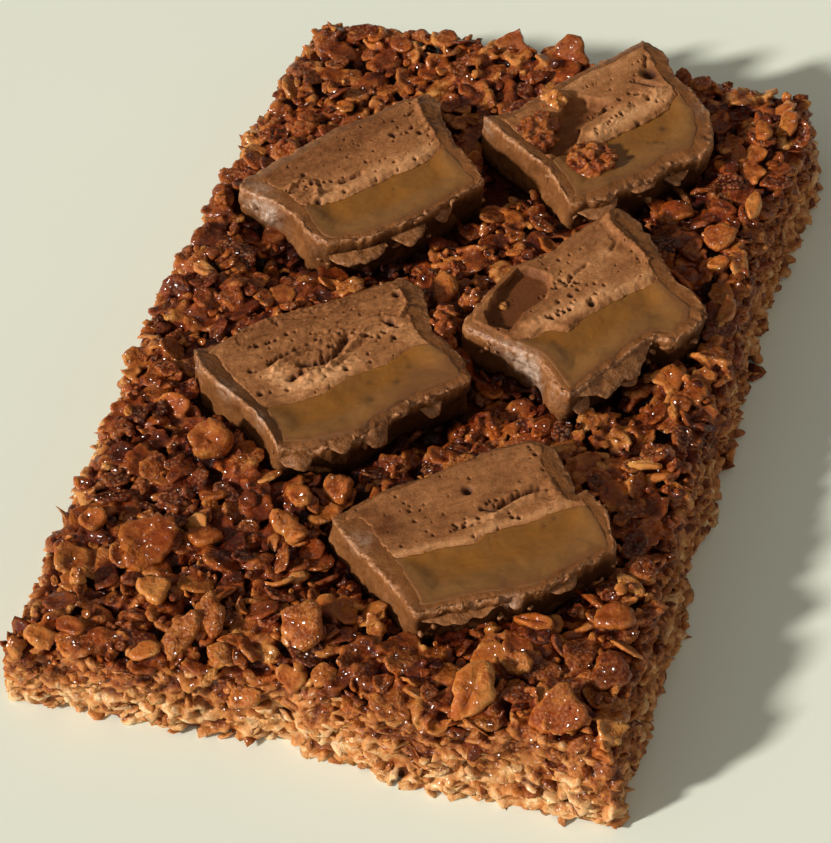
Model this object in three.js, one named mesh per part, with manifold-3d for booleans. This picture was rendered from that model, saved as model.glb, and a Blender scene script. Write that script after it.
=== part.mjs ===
// A flapjack: a baked slab of syrupy oats with five cut slices of a coated nougat and caramel bar
// pressed into its top. Millimetres, +Z up, flat underside on z = 0, long way along Y.
// Each slice lies on one cut side, so its coating, nougat and caramel all run from top to foot.
import * as THREE from "three";
import { ImprovedNoise } from "three/addons/math/ImprovedNoise.js";
import { mergeVertices } from "three/addons/utils/BufferGeometryUtils.js";
import Module from "manifold-3d";

const { lerp, smoothstep, degToRad, radToDeg, seededRandom } = THREE.MathUtils;
const SEED = 8;
const GAP = 0.3; // between pieces that touch

// Slab. Corners in plan run near left, near right, far right, far left, as on each slice
const SLAB_CORNERS = [[-40.4, -70.2], [39.4, -65.7], [40.3, 69.6], [-38.7, 65.7]];
const SLAB_SIZE = [80, 136]; // across and along, between the middles of its sides
const PLAN_CENTRE = [-0.75, -0.57]; // middle of the whole outline, put on the origin
const CORE_TOP = 11.4; // syrupy oats that the flakes lie on
const CORE_BUMP = 0.9;
const EDGE_DROOP = 2; // the top sinks by this much over the last DROOP_WIDTH
const DROOP_WIDTH = 5;
const LEFT_BOW = 2.4; // the left side bulges in its middle
const SIDE_FLARE = [2, 0.8]; // how far the foot stands out past the top edge, across and along
const SIDE_BUMP = 1;
const SIDE_LEVELS = [0.66, 0.33, 0]; // heights on the sides, as shares of CORE_TOP
const SLAB_CELLS = [17, 28];

// Oat flakes fused to the slab: how many, and their lengths, largest first
const TOP_FLAKES = [{ count: 26, length: 8 }, { count: 70, length: 6.2 }, { count: 34, length: 4.6 }];
const SIDE_FLAKES = { count: 54, length: 4.8 };
const SIDE_FLAKE_LEVELS = [0.26, 0.72, 0.48]; // taken in turn, as shares of CORE_TOP
const FLAKE_WIDTH = 0.74; // share of the length
const FLAKE_THICKNESS = 1.7;
const FLAKE_SIDES = 6;
const FLAKE_LIFT = 0.6; // middle of a flake above the core
const FLAKE_TILT = 24;
const TRIES = 24; // places compared for each flake, of which the emptiest is used

// Flakes that stand out singly: place, height of the middle, length, tilt and turn
const SHOWN_FLAKES = [
  { at: [-28.5, -48], height: 12.6, length: 9, tilt: 10, turn: 70 },
  { at: [20, -62], height: 12.2, length: 8, tilt: -14, turn: 80 },
  { at: [33, -17], height: 12.8, length: 5.2, tilt: 8, turn: 15 },
  { at: [-41.5, -18], height: 11, length: 5, tilt: 40, turn: 95 },
  { at: [2.5, 69], height: 12.2, length: 8, tilt: -42, turn: -20 },
  { at: [-2.8, 10], height: 14, length: 6, tilt: 24, turn: 80 },
  { at: [-0.6, 5], height: 14.4, length: 5, tilt: 60, turn: 100 },
  { at: [0.6, 0.5], height: 14.2, length: 5, tilt: 62, turn: 95 },
];

// Slices: top corners in plan, the coating's thickness at the start and end of the near, right, far
// and left sides, how much of the left and right end is caramel, how far the top leans up to the
// right and to the far side, and the hollows in the nougat
const SLICE_TOP = 17.4;
const SLICE_FOOT = 9.4;
const SLICE_CELLS = [7, 3];
const SLICE_BUMP = 0.35;
const RIM_DROP = 0.5; // outer edge of the coating below its inner edge
const CORNER_ROUND = 0.06; // how far the corners are drawn in, as a share of the half length
const FILLING_WIDTH = 18; // about, across nougat and caramel
const CRUMB = { thickness: 2.4, lift: 0.5 }; // lift of its middle above the top of the filling
const SLICES = [
  {
    corners: [[-21.5, 12], [-1.8, 31], [-16, 50], [-37, 22.5]],
    coating: [[1, 1.2], [1.2, 3.6], [1.2, 1], [4, 1.2]],
    caramel: [0.55, 0.45],
    lean: [0.5, -0.3],
    hollows: [{ at: [-20.6, 28.2], length: 4, width: 1, depth: 0.9, turn: 42 }],
  },
  {
    corners: [[11.5, 30.2], [29, 48.5], [14, 71], [-5.6, 45]],
    coating: [[1.8, 2], [2.2, 2], [1.6, 1.6], [2, 1.8]],
    caramel: [0.4, 0.52],
    lean: [-0.4, 0.4],
    hollows: [
      { at: [16.3, 62.6], length: 3.2, width: 2.4, depth: 2.6, turn: 60 },
      { at: [8, 50], length: 7, width: 3, depth: 1.6, turn: 50 },
    ],
    crumbs: [{ at: [3.4, 46.6], length: 6.4, turn: 60 }, { at: [13.6, 38.8], length: 5.4, turn: 20 }],
  },
  {
    corners: [[-15.8, -30], [6.6, -9.5], [-7.5, 7.8], [-32.6, -14.2]],
    coating: [[1.2, 1.2], [1, 3.8], [0.8, 0.8], [3, 1.4]],
    caramel: [0.38, 0.46],
    lean: [0.3, 0.2],
    hollows: [{ at: [-15.4, -12.4], length: 8, width: 1.3, depth: 1.1, turn: 44 }],
  },
  {
    corners: [[20.3, -10], [35.2, 12.5], [18.2, 31.5], [2.8, 1]],
    coating: [[1.2, 1.4], [1.4, 3.6], [0.8, 0.8], [1, 1.2]],
    caramel: [0.45, 0.38],
    lean: [-0.3, 0.3],
    hollows: [{ at: [9.4, 8.2], length: 12, width: 6, depth: 1.6, turn: 66 }],
  },
  {
    corners: [[10.3, -55], [33.5, -36.3], [19, -19], [-5.3, -40.8]],
    coating: [[1.2, 1], [0.9, 3.2], [0.8, 0.8], [4.2, 1.8]],
    caramel: [0.55, 0.55],
    lean: [0.2, -0.2],
    hollows: [{ at: [17.6, -31.2], length: 7, width: 1, depth: 1.3, turn: 42 }],
  },
];

const wasm = await Module();
wasm.setup();
const noise = new ImprovedNoise();
const between = (low, high) => lerp(low, high, seededRandom());

// Solids and meshes

function solidOf(geometry) {
  const bare = geometry.clone();
  bare.deleteAttribute("normal");
  bare.deleteAttribute("uv");
  const merged = mergeVertices(bare);
  return new wasm.Manifold(
    new wasm.Mesh({
      numProp: 3,
      vertProperties: merged.attributes.position.array,
      triVerts: new Uint32Array(merged.index.array),
    }),
  );
}

function geometryOf(points, faces) {
  const geometry = new THREE.BufferGeometry();
  geometry.setAttribute("position", new THREE.Float32BufferAttribute(points.flat(), 3));
  geometry.setIndex(faces.flat());
  return geometry;
}

// The largest body of a solid: a scrap cut loose goes, and a hollow that joining sealed is filled
function largestBody(solid) {
  return solid.decompose().reduce((a, b) => (b.volume() > a.volume() ? b : a));
}

function meshOf(name, solid, material) {
  const cut = solid.getMesh();
  const geometry = new THREE.BufferGeometry();
  geometry.setAttribute("position", new THREE.BufferAttribute(cut.vertProperties, 3));
  geometry.setIndex(new THREE.BufferAttribute(cut.triVerts, 1));
  const mesh = new THREE.Mesh(geometry, material);
  mesh.name = name;
  return mesh;
}

// The grid places round the edge of a patch, anticlockwise from above
function edgePlaces(columns, rows) {
  const places = [];
  for (let i = 0; i < columns; i++) places.push([i, 0]);
  for (let j = 0; j < rows; j++) places.push([columns, j]);
  for (let i = columns; i > 0; i--) places.push([i, rows]);
  for (let j = rows; j > 0; j--) places.push([0, j]);
  return places;
}

// A solid with a relief on top, sides that go down through one ring of points for each level, and a
// flat underside. surface(u, v) and side(u, v, level) give points, u from left to right, v from near to far
function patchSolid([columns, rows], surface, side, levels) {
  const points = [];
  const faces = [];
  const indexOf = (i, j) => j * (columns + 1) + i;
  for (let j = 0; j <= rows; j++) {
    for (let i = 0; i <= columns; i++) points.push(surface(i / columns, j / rows));
  }
  for (let j = 0; j < rows; j++) {
    for (let i = 0; i < columns; i++) {
      const [a, b, c, d] = [indexOf(i, j), indexOf(i + 1, j), indexOf(i + 1, j + 1), indexOf(i, j + 1)];
      faces.push([a, b, c], [a, c, d]);
    }
  }
  const places = edgePlaces(columns, rows);
  let upper = places.map(([i, j]) => indexOf(i, j));
  for (const level of levels) {
    const lower = places.map(([i, j]) => points.push(side(i / columns, j / rows, level)) - 1);
    upper.forEach((point, k) => {
      const next = (k + 1) % upper.length;
      faces.push([point, lower[k], lower[next]], [point, lower[next], upper[next]]);
    });
    upper = lower;
  }
  const middle = points.push(side(0.5, 0.5, levels.at(-1))) - 1;
  upper.forEach((point, k) => faces.push([middle, upper[(k + 1) % upper.length], point]));
  return solidOf(geometryOf(points, faces));
}

// A ring-shaped solid through closed loops of points, each joined to the next and the last to the first
function loopSolid(loops) {
  const size = loops[0].length;
  const faces = [];
  loops.forEach((_, k) => {
    const [here, there] = [k * size, ((k + 1) % loops.length) * size];
    for (let i = 0; i < size; i++) {
      const next = (i + 1) % size;
      faces.push([here + i, here + next, there + next], [here + i, there + next, there + i]);
    }
  });
  return solidOf(geometryOf(loops.flat(), faces));
}

// Plan geometry of four-cornered pieces

function onQuad([a, b, c, d], u, v) {
  return [0, 1].map((k) => lerp(lerp(a[k], b[k], u), lerp(d[k], c[k], u), v));
}

// The same with its corners drawn in
function onRoundedQuad(corners, u, v) {
  const drawn = 1 - CORNER_ROUND * ((2 * u - 1) * (2 * v - 1)) ** 4;
  return onQuad(corners, 0.5 + (u - 0.5) * drawn, 0.5 + (v - 0.5) * drawn);
}

// The lines of the sides moved inwards by their own thicknesses, and where they meet
function insetQuad(corners, thicknesses) {
  const lines = corners.map((corner, k) => {
    const from = new THREE.Vector2(...corner);
    const to = new THREE.Vector2(...corners[(k + 1) % 4]);
    const along = to.clone().sub(from).normalize();
    const inward = new THREE.Vector2(-along.y, along.x);
    const [start, end] = thicknesses[k];
    return [from.addScaledVector(inward, start), to.addScaledVector(inward, end)];
  });
  return lines.map(([from, to], k) => {
    const [otherFrom, otherTo] = lines[(k + 3) % 4];
    const way = to.clone().sub(from);
    const otherWay = otherTo.clone().sub(otherFrom);
    const share = otherFrom.clone().sub(from).cross(otherWay) / way.cross(otherWay);
    return from.addScaledVector(way, share).toArray();
  });
}

// How far a place lies outside four corners, negative inside
function distanceOutside(corners, [x, y]) {
  return Math.max(
    ...corners.map(([x0, y0], k) => {
      const [x1, y1] = corners[(k + 1) % 4];
      return ((x - x0) * (y1 - y0) - (y - y0) * (x1 - x0)) / Math.hypot(x1 - x0, y1 - y0);
    }),
  );
}

// Oat flakes: a flat, uneven round with a low crown

function flakeSolid(length, width, thickness) {
  const ring = (grow, height) =>
    Array.from({ length: FLAKE_SIDES }, (_, k) => {
      const angle = (2 * Math.PI * k) / FLAKE_SIDES;
      const reach = grow * (1 + 0.16 * noise.noise(k * 1.7, length * 3.1, width * 5.3));
      return [(reach * length * Math.cos(angle)) / 2, (reach * width * Math.sin(angle)) / 2, height];
    });
  const points = [...ring(0.86, -thickness / 2), ...ring(1, thickness / 5), [0, 0, thickness / 2]];
  const faces = [];
  for (let k = 0; k < FLAKE_SIDES; k++) {
    const next = (k + 1) % FLAKE_SIDES;
    const [low, lowNext, high, highNext] = [k, next, FLAKE_SIDES + k, FLAKE_SIDES + next];
    faces.push([low, lowNext, highNext], [low, highNext, high], [high, highNext, 2 * FLAKE_SIDES]);
    if (k > 0 && next > 0) faces.push([0, lowNext, low]);
  }
  return solidOf(geometryOf(points, faces));
}

function placed(solid, [x, y], height, tilt, turn) {
  const turned = new THREE.Euler(degToRad(tilt), 0, degToRad(turn), "ZXY");
  const matrix = new THREE.Matrix4().makeRotationFromEuler(turned).setPosition(x, y, height);
  return solid.transform(matrix.elements);
}

// Slab

function slabPlan(u, v) {
  const [x, y] = onQuad(SLAB_CORNERS, u, v);
  const ragged = (side) => SIDE_BUMP * noise.noise(x / 6, y / 6, side);
  return [
    x - LEFT_BOW * (1 - u) * Math.sin(Math.PI * v) + (2 * u - 1) * ragged(1.5),
    y + (2 * v - 1) * ragged(5.5),
  ];
}

function coreHeight([x, y], u, v) {
  const toEdge = Math.min(Math.min(u, 1 - u) * SLAB_SIZE[0], Math.min(v, 1 - v) * SLAB_SIZE[1]);
  const droop = EDGE_DROOP * (1 - smoothstep(toEdge, 0, DROOP_WIDTH));
  return CORE_TOP - droop + CORE_BUMP * noise.noise(x / 5, y / 5, 9.5);
}

function slabCore() {
  const surface = (u, v) => {
    const place = slabPlan(u, v);
    return [...place, coreHeight(place, u, v)];
  };
  const side = (u, v, level) => {
    const [x, y] = slabPlan(u, v);
    const bump = SIDE_BUMP * noise.noise(x / 4, y / 4, level * 7 + 2.5);
    const [outX, outY] = SIDE_FLARE.map((flare) => flare * (1 - level) ** 2 + bump);
    const wayOut = (share) => (share === 0 ? -1 : share === 1 ? 1 : 0);
    return [x + wayOut(u) * outX, y + wayOut(v) * outY, level * CORE_TOP];
  };
  return patchSolid(SLAB_CELLS, surface, side, SIDE_LEVELS);
}

// Of several random places on the bare top, the one with the most room round it
function emptiestPlace(taken, length) {
  let best = null;
  for (let k = 0; k < TRIES; k++) {
    const [u, v] = [between(0.03, 0.97), between(0.02, 0.98)];
    const at = slabPlan(u, v);
    if (SLICES.some(({ corners }) => distanceOutside(corners, at) < length * 0.3)) continue;
    const room = Math.min(
      ...taken.map((other) => Math.hypot(at[0] - other.at[0], at[1] - other.at[1]) - other.length / 2),
    );
    if (!best || room > best.room) best = { at, u, v, room, length };
  }
  return best;
}

function topFlakes() {
  const taken = SHOWN_FLAKES.map(({ at, length }) => ({ at, length }));
  const solids = [];
  for (const { count, length } of TOP_FLAKES) {
    for (let k = 0; k < count; k++) {
      const place = emptiestPlace(taken, length);
      if (!place) continue;
      taken.push(place);
      const size = length * between(0.88, 1.12);
      const flake = flakeSolid(size, size * FLAKE_WIDTH * between(0.85, 1.15), FLAKE_THICKNESS);
      const height = coreHeight(place.at, place.u, place.v) + FLAKE_LIFT;
      solids.push(placed(flake, place.at, height, between(-FLAKE_TILT, FLAKE_TILT), between(0, 360)));
    }
  }
  return solids;
}

// Flakes seen edge-on in the cut sides, spread round the slab by the length of its sides
function sideFlakes() {
  const { count, length } = SIDE_FLAKES;
  const outline = new THREE.Path(SLAB_CORNERS.map((corner) => new THREE.Vector2(...corner)));
  outline.closePath();
  return Array.from({ length: count }, (_, k) => {
    const share = (k + between(0.2, 0.8)) / count;
    const at = outline.getPointAt(share);
    const along = outline.getTangentAt(share);
    const level = SIDE_FLAKE_LEVELS[k % SIDE_FLAKE_LEVELS.length];
    const [outX, outY] = SIDE_FLARE.map((flare) => flare * (1 - level) ** 2 - length * 0.08);
    const onLeft = along.y < -0.5;
    const bow = onLeft ? LEFT_BOW * Math.sin(Math.PI * (at.y / SLAB_SIZE[1] + 0.5)) : 0;
    const size = length * between(0.8, 1.2);
    const flake = flakeSolid(size, size * FLAKE_WIDTH, FLAKE_THICKNESS * 0.85);
    const place = [at.x + along.y * (outX + bow), at.y - along.x * outY];
    const turn = radToDeg(Math.atan2(along.y, along.x)) + between(-30, 30);
    return placed(flake, place, level * CORE_TOP, between(-30, 30), turn);
  });
}

function shownFlakes() {
  return SHOWN_FLAKES.map(({ at, height, length, tilt, turn }) =>
    placed(flakeSolid(length, length * FLAKE_WIDTH, FLAKE_THICKNESS), at, height, tilt, turn),
  );
}

// Slices

const everySide = (thickness) => Array(4).fill([thickness, thickness]);

// Height of a slice's top: its lean over the inner quad, and a seeded unevenness
function topHeight({ lean, corners }, [x, y], u, v) {
  const rough = SLICE_BUMP * noise.noise(x / 3, y / 3, corners[0][0]);
  return SLICE_TOP + lean[0] * (u - 0.5) + lean[1] * (v - 0.5) + rough;
}

// The points round a slice at an inset from its corners, at one height or at the top's own
function sliceLoop(slice, corners, height) {
  const [columns, rows] = [SLICE_CELLS[0], 2 * SLICE_CELLS[1]];
  return edgePlaces(columns, rows).map(([i, j]) => {
    const [u, v] = [i / columns, j / rows];
    const place = onRoundedQuad(corners, u, v);
    return [...place, height ?? topHeight(slice, place, u, v)];
  });
}

function coatingSolid(slice) {
  const inner = insetQuad(slice.corners, slice.coating);
  const lowered = sliceLoop(slice, slice.corners).map(([x, y, z]) => [x, y, z - RIM_DROP]);
  return loopSolid([
    sliceLoop(slice, slice.corners, SLICE_FOOT),
    lowered,
    sliceLoop(slice, inner),
    sliceLoop(slice, inner, SLICE_FOOT),
  ]);
}

// A prism that a slice takes out of the slab, with the gap to its coating
function pocketSolid(slice) {
  const corners = insetQuad(slice.corners, everySide(-GAP));
  const aboveAll = 2 * SLICE_TOP;
  const at = (height) => (u, v) => [...onRoundedQuad(corners, u, v), height];
  const cells = [SLICE_CELLS[0], 2 * SLICE_CELLS[1]];
  return patchSolid(cells, at(aboveAll), at(SLICE_FOOT - GAP), [0]);
}

// The filling from one share of the width to another, measured at the left and the right end
function fillingSolid(slice, from, to) {
  const inner = insetQuad(slice.corners, slice.coating.map(([start, end]) => [start + GAP, end + GAP]));
  const plan = (u, v) => {
    const share = lerp(lerp(from[0], from[1], u), lerp(to[0], to[1], u), v);
    return [onRoundedQuad(inner, u, share), share];
  };
  const surface = (u, v) => {
    const [place, share] = plan(u, v);
    return [...place, topHeight(slice, place, u, share)];
  };
  const side = (u, v) => [...plan(u, v)[0], SLICE_FOOT];
  return patchSolid(SLICE_CELLS, surface, side, [0]);
}

function hollowed(solid, slice) {
  return slice.hollows.reduce(
    (rest, { at, length, width, depth, turn }) =>
      rest.subtract(placed(flakeSolid(length, width, 2 * depth), at, SLICE_TOP, 0, turn)),
    solid,
  );
}

// Oat crumbs stuck to a filling, each on the part of it that it lies within
function withCrumb(solid, { at, length, turn }) {
  const crumb = flakeSolid(length, length * FLAKE_WIDTH, CRUMB.thickness);
  return solid.add(placed(crumb, at, SLICE_TOP + CRUMB.lift, 0, turn));
}

function sliceParts(slice) {
  const [left, right] = slice.caramel;
  const half = GAP / 2 / FILLING_WIDTH;
  let nougat = hollowed(fillingSolid(slice, [left + half, right + half], [1, 1]), slice);
  let caramel = fillingSolid(slice, [0, 0], [left - half, right - half]);
  if (slice.crumbs) {
    nougat = withCrumb(nougat, slice.crumbs[0]);
    caramel = withCrumb(caramel, slice.crumbs[1]);
  }
  return { coating: coatingSolid(slice), nougat: largestBody(nougat), caramel };
}

// The whole

const finish = (color, roughness) => new THREE.MeshStandardMaterial({ color, roughness, metalness: 0 });
const materials = {
  oats: finish(0x8a4a20, 0.35),
  coating: finish(0x6e4328, 0.45),
  nougat: finish(0x8a5a36, 0.7),
  caramel: finish(0x8a5a20, 0.3),
};

seededRandom(SEED);
const flakes = [...shownFlakes(), ...topFlakes(), ...sideFlakes()];
const fused = flakes.reduce((slab, flake) => slab.add(flake), slabCore());
const pocketed = SLICES.reduce((slab, slice) => slab.subtract(pocketSolid(slice)), fused);

const group = new THREE.Group();
group.position.set(-PLAN_CENTRE[0], -PLAN_CENTRE[1], 0);
group.add(meshOf("oat_slab", largestBody(pocketed), materials.oats));
SLICES.forEach((slice, k) => {
  for (const [part, solid] of Object.entries(sliceParts(slice))) {
    group.add(meshOf(`slice_${k + 1}_${part}`, solid, materials[part]));
  }
});

export default group;
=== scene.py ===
# A flapjack: a baked slab of syrupy oats with five cut slices of a coated nougat and caramel bar
# pressed into its top. Lengths are millimetres in the slab's plan until a mesh is made, in metres.
import itertools
import math

import bpy
import numpy as np
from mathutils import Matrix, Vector
from mathutils.kdtree import KDTree


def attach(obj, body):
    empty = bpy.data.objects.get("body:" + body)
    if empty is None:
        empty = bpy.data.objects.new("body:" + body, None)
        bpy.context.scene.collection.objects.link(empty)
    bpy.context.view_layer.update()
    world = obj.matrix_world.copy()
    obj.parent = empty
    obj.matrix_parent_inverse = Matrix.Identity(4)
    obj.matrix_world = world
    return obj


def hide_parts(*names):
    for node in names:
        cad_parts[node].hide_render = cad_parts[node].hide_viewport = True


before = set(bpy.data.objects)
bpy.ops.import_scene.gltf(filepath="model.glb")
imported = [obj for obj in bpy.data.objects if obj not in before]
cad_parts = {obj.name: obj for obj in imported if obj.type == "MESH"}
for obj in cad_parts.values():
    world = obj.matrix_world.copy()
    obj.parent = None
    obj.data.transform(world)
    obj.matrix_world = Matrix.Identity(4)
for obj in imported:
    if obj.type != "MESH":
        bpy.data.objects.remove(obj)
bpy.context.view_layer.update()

SEED = 11
MM = 0.001

# Slab, drawn closer to the photo than its solid. Corners in plan run near left, near right, far
# right, far left
TOP_CORNERS = np.array([(-41.0, -70.2), (39.8, -66.6), (41.0, 70.8), (-39.2, 68.2)])
FOOT_CORNERS = np.array([(-42.8, -68.7), (42.6, -69.8), (43.4, 71.0), (-40.6, 67.2)])
PLAN_CENTRE = np.array([-0.75, -0.57, 0.0])  # middle of the whole outline, put on the origin
SLAB_SIZE = np.array([80, 136])  # about, across and along
TOP = 12.8  # where the flakes' tops lie
EDGE_DROOP = 1.1  # how far the top sinks over the last DROOP_WIDTH
DROOP_WIDTH = 4.0
LEFT_BOW = 3.0  # how far the left side stands out in its middle
NEAR_BITE = 2.6  # how far the near side falls back about BITE_MIDDLE, over BITE_WIDTH
BITE_MIDDLE = -7
BITE_WIDTH = 9
RIGHT_BULGE = 2.4  # how far the right side stands out about BULGE_MIDDLE, over BULGE_WIDTH
BULGE_MIDDLE = 56
BULGE_WIDTH = 11
SIDE_TOP = 11.2  # height of the sides under the drooping top edge
CORNER_SOFTNESS = 1.2
MAP_CELL = 0.3  # of the maps on which flakes come to rest
MAP_MARGIN = 3
BED_DEPTH = 3.6  # of the first flakes under the height that the top is to reach

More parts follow.
